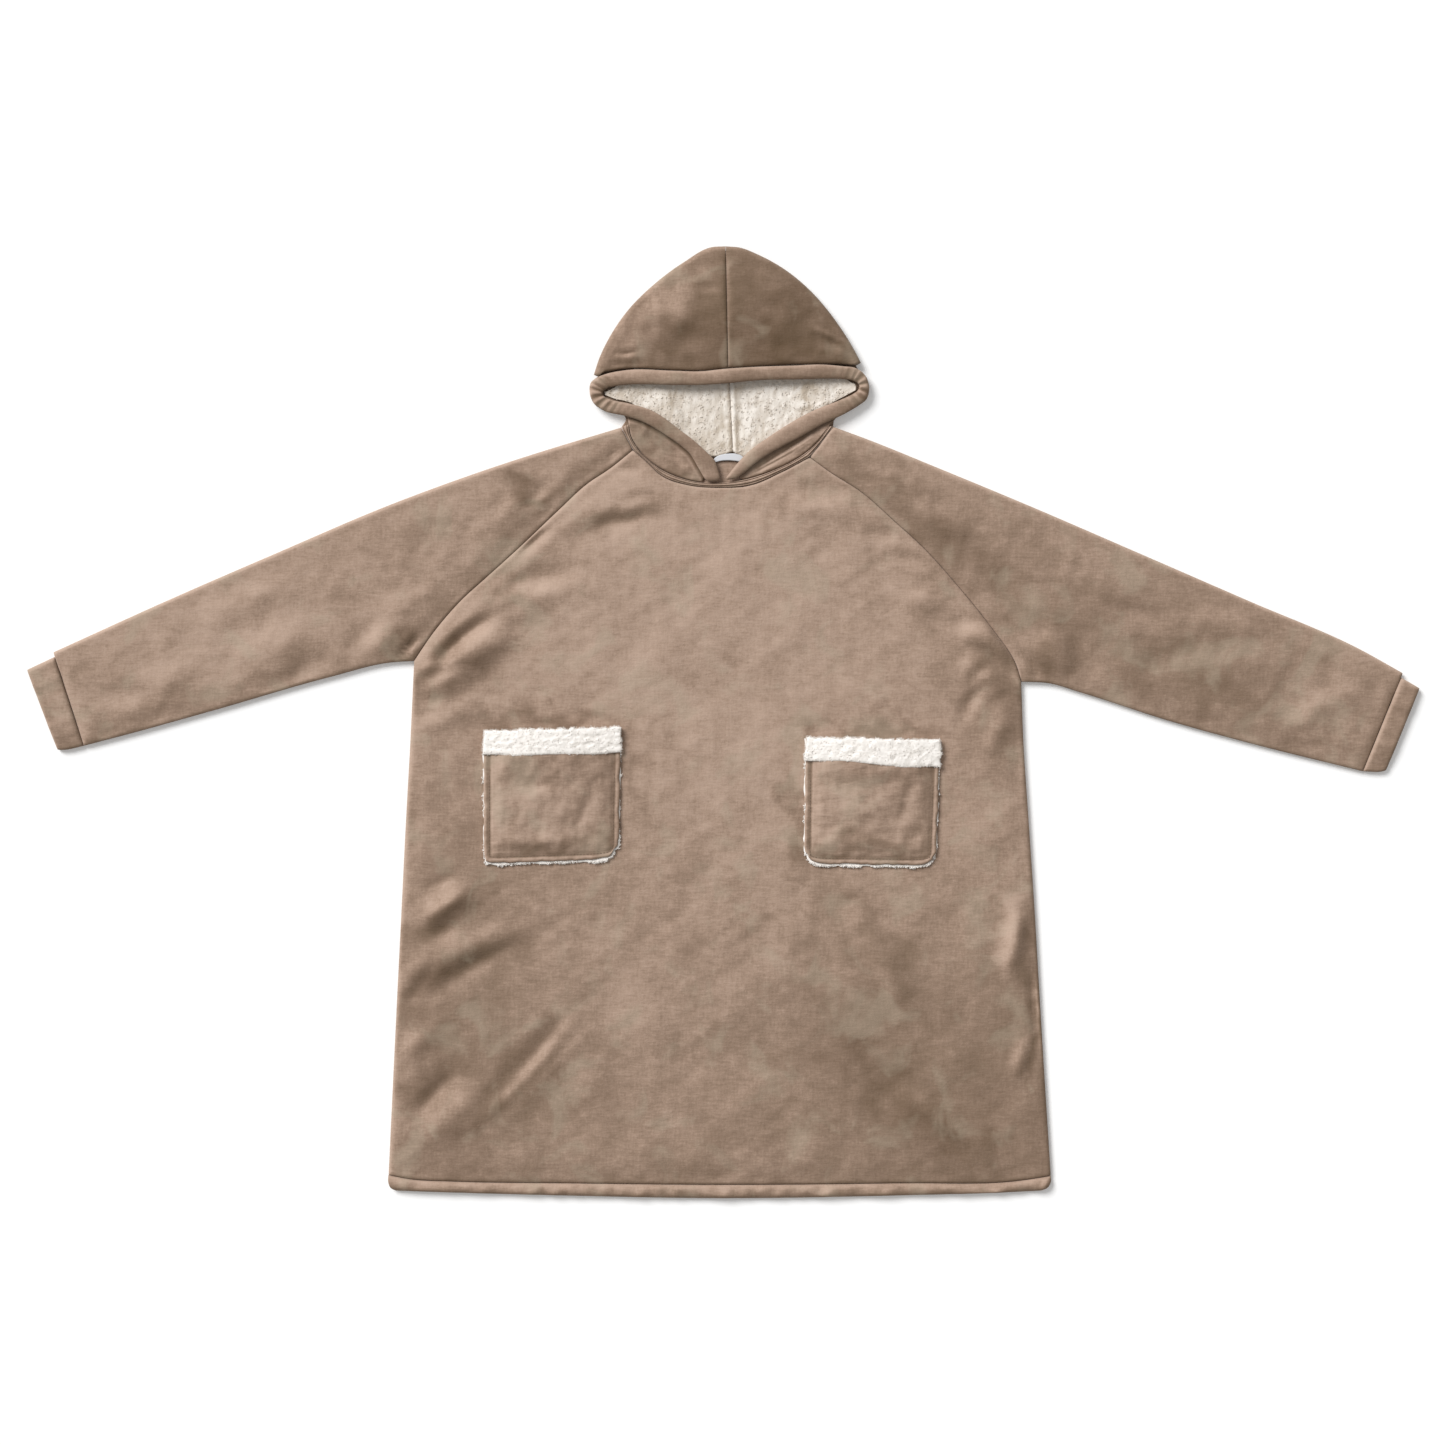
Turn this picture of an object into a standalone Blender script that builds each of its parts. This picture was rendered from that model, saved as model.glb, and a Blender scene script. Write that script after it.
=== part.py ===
"""A wearable blanket hoodie laid flat on its back, hood up the sheet and sleeves spread.

Fleece backed with sherpa, raglan sleeves, a hood with a casing round the face opening, two patch pockets
with turned-out sherpa tops, cuffs and a hem casing. The garment lies in the XY plane: +X is the picture's
right, +Y runs from the hem to the hood and +Z is up. Its back rests on Z = 0.

Sizes below are real ones in millimetres. They become metres where a mesh is made. Every layer of cloth is a
wall between a lower and an upper surface, worked out on rows and columns of points. Left and right mean the
sides of the picture.
"""

from collections import namedtuple

import bmesh
import bpy
import numpy as np

# Cloth and layers
METRE = 0.001
WALL = 4.0
SHERPA_WALL = 4.0
SEAM = 0.3
HALF_SEAM = 0.22
LAYER_2 = WALL + SEAM
LOFT = 2.0
RISE = 30.0
EDGE_ROLL = 5.0
SIDE_TAPER = 0.6
SEAM_TAPER = 0.3

# Grid counts, and the distances of the points nearest an edge
EDGE_STEPS = np.array((0.0, 3.0, 9.0))
PANEL_COLUMNS = 21
FRONT_SIDE_ROWS = 16
BACK_SIDE_ROWS = 6
RAGLAN_ROW_COUNT = 9
ARM_ROW_COUNT = 12
SLEEVE_COLUMNS = 6
ARC_STEPS = 4
HOOD_COLUMNS = 7
TANGENT_STEP = 0.01
LINING_ROWS = 12
LINING_COLUMNS = 5
THROAT_ROWS = 12
THROAT_COLUMNS = 4
TRIM_ROWS = 4
LABEL_ROWS = 7
FOLD_STEPS = 13

# Outline of the body, from the hem up
SIDE_LEFT = ((-418, -566), (-408, -358), (-402, -238), (-396, -118), (-391, -28), (-386, 77))
SIDE_RIGHT = ((411, -567), (398, -358), (391, -238), (383, -118), (377, -28), (374, 51))
HEM_SEAM = ((-418, -566), (-391, -571), (-334, -574), (-203, -576), (22, -578), (222, -576), (371, -573),
            (411, -567))
HEM_EDGE = ((-408, -586), (-348, -588), (-203, -592), (0, -595.5), (222, -592), (357, -588), (399, -586))
HEM_CORNER_LEFT = ((-418, -566.5), (-418, -574), (-415, -582), (-408, -586))
HEM_CORNER_RIGHT = ((411, -567.5), (411, -575), (407, -582), (399, -586))

# Raglan seams, from the neck down to the armpit
RAGLAN_LEFT = ((-112, 341), (-142, 317), (-169, 299), (-205, 266), (-250, 223), (-294, 183), (-328, 152),
               (-363, 111), (-386, 77))
RAGLAN_RIGHT = ((109, 332), (135, 313), (174, 288), (216, 251), (252, 218), (296, 169), (337, 118),
                (367, 73), (374, 51))

# Neck seams: the front scoop, the shallower back, and the short sleeve tops beside them
NECK_FRONT = ((-112, 341), (-95, 326), (-75, 308), (-42, 297), (-3, 294), (35, 297), (73, 313), (109, 332))
NECK_BACK = ((-112, 341), (-53, 329), (0, 327), (62, 329), (109, 332))
NECK_SLEEVE_LEFT = ((-112, 341), (-121, 358), (-127, 369))
NECK_SLEEVE_RIGHT = ((109, 332), (124, 351), (139, 370))

# Sleeves: the shoulder fold and the underarm seam, from the body out, then the far edge of the cuff
SHOULDER_LEFT = ((-127, 369), (-174, 355), (-267, 326), (-417, 272), (-558, 212), (-696, 152), (-837, 88))
SHOULDER_RIGHT = ((139, 370), (177, 356), (276, 316), (382, 272), (521, 212), (659, 152), (797, 92),
                  (851, 62))
UNDERARM_LEFT = ((-386, 77), (-416, 75), (-491, 57), (-641, 14), (-753, -17), (-799, -29))
UNDERARM_RIGHT = ((374, 51), (409, 49), (447, 38), (559, 2), (672, -29), (801, -61))
CUFF_END_LEFT = ((-870, 66), (-831, -37))
CUFF_END_RIGHT = ((872, 43), (829, -63))
OPPOSITE_ARMPIT = 0.45
CUFF_STEP = 8.0
CUFF_ROWS = (0.0, 0.35, 0.8, 1.0)
SLEEVE_FOLD = 4.9
CUFF_FOLD = 5.4
HEM_FOLD = 5.0

# The hem casing from its seam (0) down to its edge (1): how its top bulges and how its underside turns up
HemRow = namedtuple("HemRow", "down bulge turn_up")
HEM_ROWS = (HemRow(0.0, 0.6, 0.0), HemRow(0.3, 2.4, 0.0), HemRow(0.75, 1.4, 0.5), HemRow(1.0, -1.8, 1.6))

# Hood outline from the crown down to the corner of the face opening, and the seam above its casing
CROWN_LEFT = ((4, 595.6), (-14, 594.5), (-48, 576), (-88, 546), (-118, 516), (-139, 486), (-154, 456),
              (-161, 435))
CROWN_RIGHT = ((4, 595.6), (22, 594), (43, 586), (79, 566), (114, 536), (139, 506), (159, 476), (168, 460),
               (173, 450))
CASING_SEAM_LEFT = ((7, 442.5), (-30, 439), (-62, 440), (-122, 442), (-149, 438))
CASING_SEAM_RIGHT = ((7, 442.5), (49, 445), (122, 448), (145, 448), (157, 447.3))
HOOD_SIDE_LEFT = ((-154, 436), (-160, 416), (-153, 401), (-129, 390), (-121, 380), (-126.5, 369.5))
HOOD_SIDE_RIGHT = ((167, 447), (178, 421), (173, 402), (150, 388), (140, 380), (138.5, 370.5))
HOOD_FOLD = 7.0
CASING_LOW_CENTRE = 16.5
CASING_LOW_CORNER = 9.6
CROWN_PUFF = 5.0

# Sherpa lining in the face opening, from the centre seam out to the corner
LINING_TOP_LEFT = ((7, 458), (-60, 456), (-108, 445), (-124, 427), (-139, 417), (-147, 413))
LINING_LOW_LEFT = ((13, 339), (-14, 333), (-46, 353), (-98, 389), (-116, 400.5), (-136, 405.5), (-147, 410))
LINING_TOP_RIGHT = ((7, 458), (60, 456), (125, 452), (148, 434), (161, 425.5), (167.5, 421.5))
LINING_LOW_RIGHT = ((13, 339), (29, 332), (46, 344), (72, 361), (103, 381), (130, 396), (146, 404.5),
                    (167, 416))

# Lower fronts of the hood, between the neck tape and the casing, from the shoulder to the throat
THROAT_TOP_LEFT = ((-119.5, 384.5), (-100, 383), (-77, 369.5), (-50, 348.5), (-30, 324), (-22.5, 305))
THROAT_TOP_RIGHT = ((145, 384.5), (121, 374.5), (91, 358), (70, 347.5), (42, 329), (20, 309))
THROAT_SHARE_LEFT = (0.01, 0.41)
THROAT_SHARE_RIGHT = (0.99, 0.57)
THROAT_GAP = 1.0

# The upper edge of the neck tape, from the left shoulder to the right
TAPE_TOP = ((-117, 373.3), (-115, 359), (-104, 340), (-82, 320), (-58, 308), (-22, 300), (3, 300.5),
            (29, 304.5), (67, 317), (99, 334), (119, 351), (133, 371))

CasingRow = namedtuple("CasingRow", "outer_x outer_y inner_x inner_y low high")
CASING = (
    CasingRow(-21, 302.5, -2, 303.5, 8.6, 14.0),
    CasingRow(-30, 318, -8, 324, 8.6, 15.0),
    CasingRow(-41, 336, -19, 337, 8.6, 15.0),
    CasingRow(-51, 345, -33, 350, 8.6, 15.0),
    CasingRow(-68, 357, -51, 364, 8.6, 15.0),
    CasingRow(-103, 377, -91, 391, 8.6, 15.0),
    CasingRow(-122, 383, -114, 398, 8.6, 15.0),
    CasingRow(-149, 390, -138, 403, 7.0, 14.5),
    CasingRow(-161, 399, -147, 407, 4.4, 14.0),
    CasingRow(-166, 412, -150, 411, 4.4, 14.0),
    CasingRow(-164.5, 425, -148, 415, 4.4, 14.5),
    CasingRow(-157.5, 431, -142.5, 418.5, 7.0, 15.5),
    CasingRow(-147, 435, -131, 420.5, 9.0, 16.0),
    CasingRow(-122, 440, -116, 422, 9.6, 17.0),
    CasingRow(-62, 439, -57, 421, 14.5, 21.5),
    CasingRow(-30, 438, -25, 421, 16.0, 22.5),
    CasingRow(7, 441.5, 7, 423, 16.5, 23.0),
    CasingRow(49, 444, 48, 427, 16.0, 22.5),
    CasingRow(91, 445.5, 90, 428, 14.0, 21.0),
    CasingRow(122, 447, 122, 429, 12.0, 19.0),
    CasingRow(151, 445, 147, 429, 9.6, 16.5),
    CasingRow(166, 443, 160, 428, 9.0, 15.5),
    CasingRow(178.5, 434, 168, 425, 4.6, 14.5),
    CasingRow(183.5, 416, 171, 419, 4.4, 14.0),
    CasingRow(180, 404, 168, 414, 4.4, 14.0),
    CasingRow(170, 396, 160, 409, 5.0, 14.5),
    CasingRow(157, 388, 147, 403, 8.6, 15.0),
    CasingRow(124, 372, 112, 389, 8.6, 15.0),
    CasingRow(94, 355, 81, 372, 8.6, 15.0),
    CasingRow(73, 344, 58, 357, 8.6, 15.0),
    CasingRow(45, 327, 30, 336, 8.6, 15.0),
    CasingRow(28, 313, 13, 317, 8.6, 15.0),
    CasingRow(18, 305.5, 3, 304, 8.6, 14.0),
)

# The casings' section: how far across it, and how far up from its low side to its high side
STRIP_SECTION = ((0.00, 0.12), (0.00, 0.62), (0.14, 0.90), (0.50, 1.00), (0.86, 0.90), (1.00, 0.62),
                 (1.00, 0.12), (0.88, 0.00), (0.12, 0.00))
TAPE_LOW = LAYER_2
TAPE_HIGH = 9.6

# Patch pockets: corners of the fleece square, left to right and bottom to top
Pocket = namedtuple("Pocket", "name low_left low_right top_left top_right trim_left trim_right")
POCKETS = (
    Pocket("left", (-298, -176), (-130, -170), (-298, -12), (-127, -8), -41, -38),
    Pocket("right", (102, -176), (266, -178), (104, -20), (272, -24), -47, -57),
)
POCKET_WALL = 2.6
POCKET_BACKING_WALL = 2.6
POCKET_ROWS = 8
POCKET_COLUMNS = 9
POCKET_POUCH = 5.6
POCKET_LEVEL_EDGE = 8.0
POCKET_FILL_RATE = 1.2
POCKET_CORNER = 3.6
POCKET_CORNER_POWER = 6
RAW_EDGE = 4.0
TRIM_WALL = 4.0
TRIM_PROUD = 3.0
FLAT_MARGIN = 36.0
BACKING_BASE = LAYER_2 + LOFT + WALL + SEAM
POCKET_BASE = BACKING_BASE + POCKET_BACKING_WALL + 2 * SEAM
TRIM_BASE = POCKET_BASE + POCKET_WALL + 2 * SEAM

# A plain tab where the neck label is
LABEL_TOP = ((-10, 330), (6, 335), (27, 330))
LABEL_LOW = ((-11, 325.5), (6, 329.5), (28, 325.5))
LABEL_WALL = 0.8

# Largest folds: a centre line of three points, the half width and the height, ridges up and troughs down
Fold = namedtuple("Fold", "x0 y0 x1 y1 x2 y2 half_width rise")
FOLD_END = 0.02
FOLD_SWELL = 0.7
FRONT_FOLDS = (
    Fold(-206, 219, -149, 253, -57, 266, 20, -2.0),
    Fold(-190, 240, -130, 275, -60, 285, 18, 2.0),
    Fold(-272, 172, -239, 178, -172, 198, 18, -1.8),
    Fold(-357, 71, -339, 101, -286, 134, 18, -2.0),
    Fold(-372, 34, -318, 84, -255, 122, 20, 4.5),
    Fold(-380, 10, -340, 34, -300, 50, 18, -1.5),
    Fold(296, 118, 332, 118, 360, 78, 18, 3.5),
    Fold(314, 96, 341, 89, 357, 54, 16, -2.0),
    Fold(296, 66, 326, 70, 346, 30, 18, 3.0),
    Fold(62, 291, 110, 292, 164, 284, 18, -1.8),
    Fold(80, 270, 120, 272, 165, 262, 16, 1.5),
    Fold(-378, -250, -345, -232, -312, -205, 20, 4.5),
    Fold(-393, -330, -353, -285, -250, -262, 22, 3.5),
    Fold(-396, -362, -353, -312, -241, -288, 20, -2.0),
    Fold(-290, -470, -241, -424, -196, -362, 20, -2.0),
    Fold(-303, -506, -240, -448, -172, -372, 20, 3.5),
    Fold(-392, -500, -360, -462, -325, -430, 20, -1.8),
    Fold(-384, -532, -330, -492, -290, -440, 22, 2.5),
    Fold(126, -232, 162, -275, 214, -354, 22, -2.0),
    Fold(150, -226, 190, -282, 236, -350, 24, 3.5),
    Fold(159, -391, 229, -469, 314, -543, 22, -2.0),
    Fold(205, -440, 262, -490, 345, -548, 20, 4.5),
    Fold(352, -330, 368, -280, 366, -215, 18, 3.5),
    Fold(372, -470, 372, -420, 362, -370, 18, 3.0),
)
SLEEVE_FOLDS = (
    Fold(-410, 70, -394, 95, -372, 118, 15, -2.0),
    Fold(-440, 80, -420, 110, -392, 136, 18, 2.5),
    Fold(367, 98, 384, 84, 402, 48, 15, -2.0),
    Fold(396, 112, 418, 92, 436, 60, 18, 3.0),
    Fold(-600, 60, -560, 100, -500, 120, 26, 1.5),
    Fold(600, 60, 650, 80, 710, 60, 26, 1.5),
)

Finish = namedtuple("Finish", "name red green blue roughness")
FLEECE = Finish("fleece", 0.40, 0.29, 0.22, 0.85)
DARK_FLEECE = Finish("fleece_hood", 0.24, 0.165, 0.115, 0.85)
SHERPA = Finish("sherpa", 0.74, 0.69, 0.62, 0.95)
SATIN = Finish("label", 0.80, 0.80, 0.82, 0.5)


def eased(value):
    """A smooth step from 0 to 1."""
    value = np.clip(value, 0.0, 1.0)
    return value * value * (3.0 - 2.0 * value)


def through(points, fractions):
    """Points on a smooth curve through a few given ones, at fractions of its length."""
    points = np.asarray(points, float)
    knots = np.concatenate(([0.0], np.cumsum(np.linalg.norm(np.diff(points[:, :2], axis=0), axis=1))))
    knots /= knots[-1]
    slopes = np.gradient(points, knots, axis=0)
    fractions = np.clip(np.asarray(fractions, float), 0.0, 1.0)
    start = np.clip(np.searchsorted(knots, fractions, side="right") - 1, 0, len(knots) - 2)
    span = (knots[start + 1] - knots[start])[:, None]
    t = (fractions - knots[start])[:, None] / span
    return (
        (2 * t**3 - 3 * t**2 + 1) * points[start]
        + (t**3 - 2 * t**2 + t) * span * slopes[start]
        + (3 * t**2 - 2 * t**3) * points[start + 1]
        + (t**3 - t**2) * span * slopes[start + 1]
    )


def edge_spaced(width, count):
    """Fractions across a width: close together at both edges, even between them."""
    fine = EDGE_STEPS / width
    return np.concatenate((fine[:-1], np.linspace(fine[-1], 1.0 - fine[-1], count - 4), 1.0 - fine[-2::-1]))


def inset(plan):
    """Each grid point's distance from the grid's first and last column and from its first and last row."""
    along = np.cumsum(np.linalg.norm(np.diff(plan, axis=1, prepend=plan[:, :1]), axis=2), axis=1)
    up = np.cumsum(np.linalg.norm(np.diff(plan, axis=0, prepend=plan[:1]), axis=2), axis=0)
    return along, along[:, -1:] - along, up, up[-1:] - up


def fold_heights(plan, folds):
    """The height that a table of folds adds at each plan point: a bell across and a swell along each one."""
    total = np.zeros(plan.shape[:-1])
    steps = np.linspace(0.0, 1.0, FOLD_STEPS)[:, None]
    for fold in folds:
        start = np.array((fold.x0, fold.y0), float)
        middle = np.array((fold.x1, fold.y1), float)
        end = np.array((fold.x2, fold.y2), float)
        line = (1 - steps) ** 2 * start + 2 * steps * (1 - steps) * middle + steps**2 * end
        run = np.diff(line, axis=0)
        offset = plan[..., None, :] - line[:-1]
        t = np.clip((offset * run).sum(-1) / (run * run).sum(-1), 0.0, 1.0)
        distance = np.linalg.norm(offset - t[..., None] * run, axis=-1)
        nearest = distance.argmin(-1)
        along = (nearest + np.take_along_axis(t, nearest[..., None], -1)[..., 0]) / len(run)
        swell = np.sin(np.pi * np.clip(along, FOLD_END, 1.0 - FOLD_END)) ** FOLD_SWELL
        total += fold.rise * swell * np.exp(-((distance.min(-1) / fold.half_width) ** 2))
    return total


def clear_of_pockets(plan):
    """1 where folds may lie, and 0 under and near a pocket, where the front stays level."""
    mask = np.ones(plan.shape[:-1])
    for pocket in POCKETS:
        xs = (pocket.low_left[0], pocket.top_right[0])
        ys = (pocket.low_left[1], pocket.top_right[1])
        beyond_x = np.maximum(xs[0] - plan[..., 0], plan[..., 0] - xs[1])
        beyond_y = np.maximum(ys[0] - plan[..., 1], plan[..., 1] - ys[1])
        mask *= eased((np.maximum(beyond_x, beyond_y) - FLAT_MARGIN) / RISE)
    return mask


def with_heights(plan, heights):
    """Plan points with their heights, as one grid."""
    return np.concatenate((plan, np.broadcast_to(heights, plan.shape[:-1])[..., None]), axis=-1)


def grid_faces(rows, columns, first=0):
    """The four-sided faces of a grid whose points are numbered row by row."""
    corner = first + np.arange(rows - 1)[:, None] * columns + np.arange(columns - 1)
    return np.stack((corner, corner + 1, corner + columns + 1, corner + columns), axis=-1).reshape(-1, 4)


def add_piece(name, points, faces, finish):
    """One named mesh object from points in millimetres, its faces turned outwards."""
    mesh = bpy.data.meshes.new(name)
    mesh.from_pydata((np.asarray(points, float) * METRE).tolist(), [], faces)
    shape = bmesh.new()
    shape.from_mesh(mesh)
    bmesh.ops.recalc_face_normals(shape, faces=shape.faces)
    shape.to_mesh(mesh)
    shape.free()
    mesh.materials.append(material(finish))
    piece = bpy.data.objects.new(name, mesh)
    bpy.data.collections["wearable_blanket"].objects.link(piece)
    return piece


def cloth_wall(name, outer, inner, finish):
    """A closed wall of cloth between two grids of the same size, joined along all four borders."""
    rows, columns = outer.shape[:2]
    count = rows * columns
    number = np.arange(count).reshape(rows, columns)
    border = np.concatenate((number[0, :-1], number[:-1, -1], number[-1, :0:-1], number[:0:-1, 0]))
    following = np.roll(border, -1)
    rim = np.stack((border, following, following + count, border + count), axis=-1)
    faces = np.concatenate((grid_faces(rows, columns), grid_faces(rows, columns, count)[:, ::-1], rim))
    points = np.concatenate((outer.reshape(-1, 3), inner.reshape(-1, 3)))
    return add_piece(name, points, faces.tolist(), finish)


def thick_sheet(name, grid, wall, finish):
    """An open sheet, given by its lower surface, thickened upwards."""
    rows, columns = grid.shape[:2]
    mesh = bpy.data.meshes.new(name)
    mesh.from_pydata((grid.reshape(-1, 3) * METRE).tolist(), [], grid_faces(rows, columns).tolist())
    if mesh.polygons[0].normal.z < 0:
        mesh.flip_normals()
    mesh.materials.append(material(finish))
    piece = bpy.data.objects.new(name, mesh)
    bpy.data.collections["wearable_blanket"].objects.link(piece)
    thickness = piece.modifiers.new("cloth", "SOLIDIFY")
    thickness.thickness = wall * METRE
    thickness.offset = 1.0
    return piece


def strip(name, outer_rail, inner_rail, low, high, finish):
    """A rounded flat casing between two rails: one section for each row, its two ends capped."""
    across = np.array([row[0] for row in STRIP_SECTION])
    rise = np.array([row[1] for row in STRIP_SECTION])
    plan = outer_rail[:, None] * (1 - across[:, None]) + inner_rail[:, None] * across[:, None]
    heights = low[:, None] + (high - low)[:, None] * rise
    rows, columns = heights.shape
    points = with_heights(plan, heights).reshape(-1, 3)
    corner = np.arange(rows - 1)[:, None] * columns + np.arange(columns)
    beside = np.arange(rows - 1)[:, None] * columns + (np.arange(columns) + 1) % columns
    faces = np.stack((corner, beside, beside + columns, corner + columns), axis=-1).reshape(-1, 4).tolist()
    faces.append(list(range(columns))[::-1])
    faces.append(list(range((rows - 1) * columns, rows * columns)))
    return add_piece(name, points, faces, finish)


def folded_wall(name, front_plan, back_plan, fold_line, inward, front, back, finish):
    """A wall folded back under itself.

    front_plan runs from the open edge to the fold and back_plan from the fold to the other open edge. front
    and back each hold the low and the high surface of a layer. Between them the wall turns round the fold
    line on two arcs about one centre line.
    """
    front_low, front_high = front
    back_low, back_high = back
    angles = np.pi * np.arange(1, ARC_STEPS) / ARC_STEPS

    def turned(top, bottom):
        radius = (top - bottom)[:, None] / 2
        middle = (top + bottom)[:, None] / 2
        centre = front_plan[:, -1][:, None]
        outwards = radius * np.sin(angles)
        return with_heights(centre - inward[:, None] * outwards[..., None], middle + radius * np.cos(angles))

    outer_arc = turned(front_high[:, -1], back_low[:, 0])
    reach = np.linalg.norm(front_plan[:, -1] - fold_line, axis=1)
    swing = (inward * reach[:, None])[:, None] * np.sin(angles)[:, None]
    outer_arc[..., :2] = front_plan[:, -1][:, None] - swing
    inner_arc = turned(front_low[:, -1], back_high[:, 0])
    outer = (with_heights(front_plan, front_high), outer_arc, with_heights(back_plan, back_low))
    inner = (with_heights(front_plan, front_low), inner_arc, with_heights(back_plan, back_high))
    return cloth_wall(name, np.concatenate(outer, axis=1), np.concatenate(inner, axis=1), finish)


def raglan_rows():
    """Fractions along a raglan seam, from the neck to the armpit."""
    return np.linspace(0.0, 1.0, RAGLAN_ROW_COUNT)


def body_plan(neck_line, side_row_count):
    """Plan points of a body panel: rows from the hem to the neck, columns from left to right."""
    side_rows = np.linspace(0.0, 1.0, side_row_count)
    left = np.concatenate((through(SIDE_LEFT, side_rows)[:-1], through(RAGLAN_LEFT, raglan_rows())[::-1]))
    right = np.concatenate((through(SIDE_RIGHT, side_rows)[:-1], through(RAGLAN_RIGHT, raglan_rows())[::-1]))
    across = np.array([edge_spaced(width, PANEL_COLUMNS) for width in np.linalg.norm(right - left, axis=1)])
    plan = left[:, None] * (1 - across[..., None]) + right[:, None] * across[..., None]
    rows = np.arange(len(plan))
    near_neck = eased((rows - side_row_count + 1) / (RAGLAN_ROW_COUNT - 1))
    near_hem = eased(1.0 - rows / (side_row_count / 3))
    neck_shift = through(neck_line, across[-1]) - plan[-1]
    hem_shift = through(HEM_SEAM, across[0]) - plan[0]
    plan += near_neck[:, None, None] * neck_shift + near_hem[:, None, None] * hem_shift
    plan[:, 0, 0] += HALF_SEAM
    plan[:, -1, 0] -= HALF_SEAM
    plan[0, :, 1] += HALF_SEAM
    plan[-1, :, 1] -= HALF_SEAM
    return plan


def edge_taper(from_edge, share):
    """How much of the wall is left at a distance from a seam where its face rolls in."""
    return 1.0 - share * np.exp(-((from_edge / EDGE_ROLL) ** 2))


def side_share(side_row_count):
    """The taper along the panel's side rows and, less, along its raglan rows."""
    rows = np.arange(side_row_count + RAGLAN_ROW_COUNT - 1)
    on_raglan = eased((rows - side_row_count + 2) / 2)
    return (SIDE_TAPER + (SEAM_TAPER - SIDE_TAPER) * on_raglan)[:, None]


def build_front_panel():
    """The front lies on the back, lifted a little and more in its folds, and rolls down at its edges."""
    plan = body_plan(NECK_FRONT, FRONT_SIDE_ROWS)
    from_left, from_right, from_hem, from_neck = inset(plan)
    from_side = np.minimum(from_left, from_right)
    free = eased(from_side / RISE) * eased(from_hem / RISE) * eased(from_neck / RISE)
    folds = fold_heights(plan, FRONT_FOLDS) * clear_of_pockets(plan)
    low = LAYER_2 + free * np.maximum(LOFT + folds, 0.0)
    wall = WALL * edge_taper(from_side, side_share(FRONT_SIDE_ROWS))
    wall *= edge_taper(np.minimum(from_hem, from_neck), SEAM_TAPER)
    return cloth_wall("front_panel", with_heights(plan, low + wall), with_heights(plan, low), FLEECE)


def build_back_panel():
    """The back lies flat on the ground and turns up only at its side seams."""
    plan = body_plan(NECK_BACK, BACK_SIDE_ROWS)
    from_left, from_right, _, _ = inset(plan)
    share = side_share(BACK_SIDE_ROWS) - SEAM_TAPER
    low = WALL - WALL * edge_taper(np.minimum(from_left, from_right), share)
    return cloth_wall("back_panel", with_heights(plan, low), with_heights(plan, WALL), FLEECE)


def sleeve_lines(raglan, shoulder, underarm):
    """The open edge and the fold of a sleeve, station by station from the neck to the cuff."""
    arm_rows = np.linspace(0.0, 1.0, ARM_ROW_COUNT)[1:]
    open_edge = np.concatenate((through(raglan, raglan_rows()), through(underarm, arm_rows)))
    shoulder_rows = np.concatenate(
        (raglan_rows() * OPPOSITE_ARMPIT, OPPOSITE_ARMPIT + (1 - OPPOSITE_ARMPIT) * arm_rows)
    )
    return open_edge, through(shoulder, shoulder_rows)


def folded_plans(open_edge, fold_line, radius):
    """Plans of the two layers of a folded piece, and the direction in from its fold."""
    inward = open_edge - fold_line
    width = np.linalg.norm(inward, axis=1)
    inward = inward / width[:, None]
    fold_start = fold_line + inward * radius
    edge = EDGE_STEPS / width[:, None]
    across = np.concatenate((edge[:, :-1], np.linspace(edge[:, -1], 1.0, SLEEVE_COLUMNS, axis=1)), axis=1)
    front = open_edge[:, None] * (1 - across[..., None]) + fold_start[:, None] * across[..., None]
    return front, front[:, ::-1], inward


def build_sleeve(name, side, raglan, shoulder, underarm):
    """A sleeve folded along the shoulder; its open edges lie at the raglan and underarm seams."""
    open_edge, fold_line = sleeve_lines(raglan, shoulder, underarm)
    open_edge[:RAGLAN_ROW_COUNT, 0] += side * HALF_SEAM
    front, back, inward = folded_plans(open_edge, fold_line, SLEEVE_FOLD)
    from_seam, from_fold, from_neck, from_cuff = inset(front)
    free = eased(from_seam / RISE) * eased(from_neck / RISE) * eased(from_cuff / RISE)
    at_fold = 2 * SLEEVE_FOLD - WALL
    rise = np.maximum(LOFT + fold_heights(front, SLEEVE_FOLDS), 0.0)
    level = LAYER_2 + free * rise
    low = level + (at_fold - level) * (1.0 - eased(from_fold / RISE))
    stations = np.arange(len(front))[:, None]
    past_armpit = eased((stations - RAGLAN_ROW_COUNT + 1) / 2)
    share = SEAM_TAPER + (SIDE_TAPER - SEAM_TAPER) * past_armpit
    wall = WALL * edge_taper(from_seam, share) * edge_taper(from_cuff, SEAM_TAPER)
    back_low = WALL * (1.0 - edge_taper(from_seam, SIDE_TAPER * past_armpit))[:, ::-1]
    back_high = np.full_like(back_low, WALL)
    layers = (low, low + wall), (back_low, back_high)
    return folded_wall(name, front, back, fold_line, inward, *layers, FLEECE)


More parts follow.
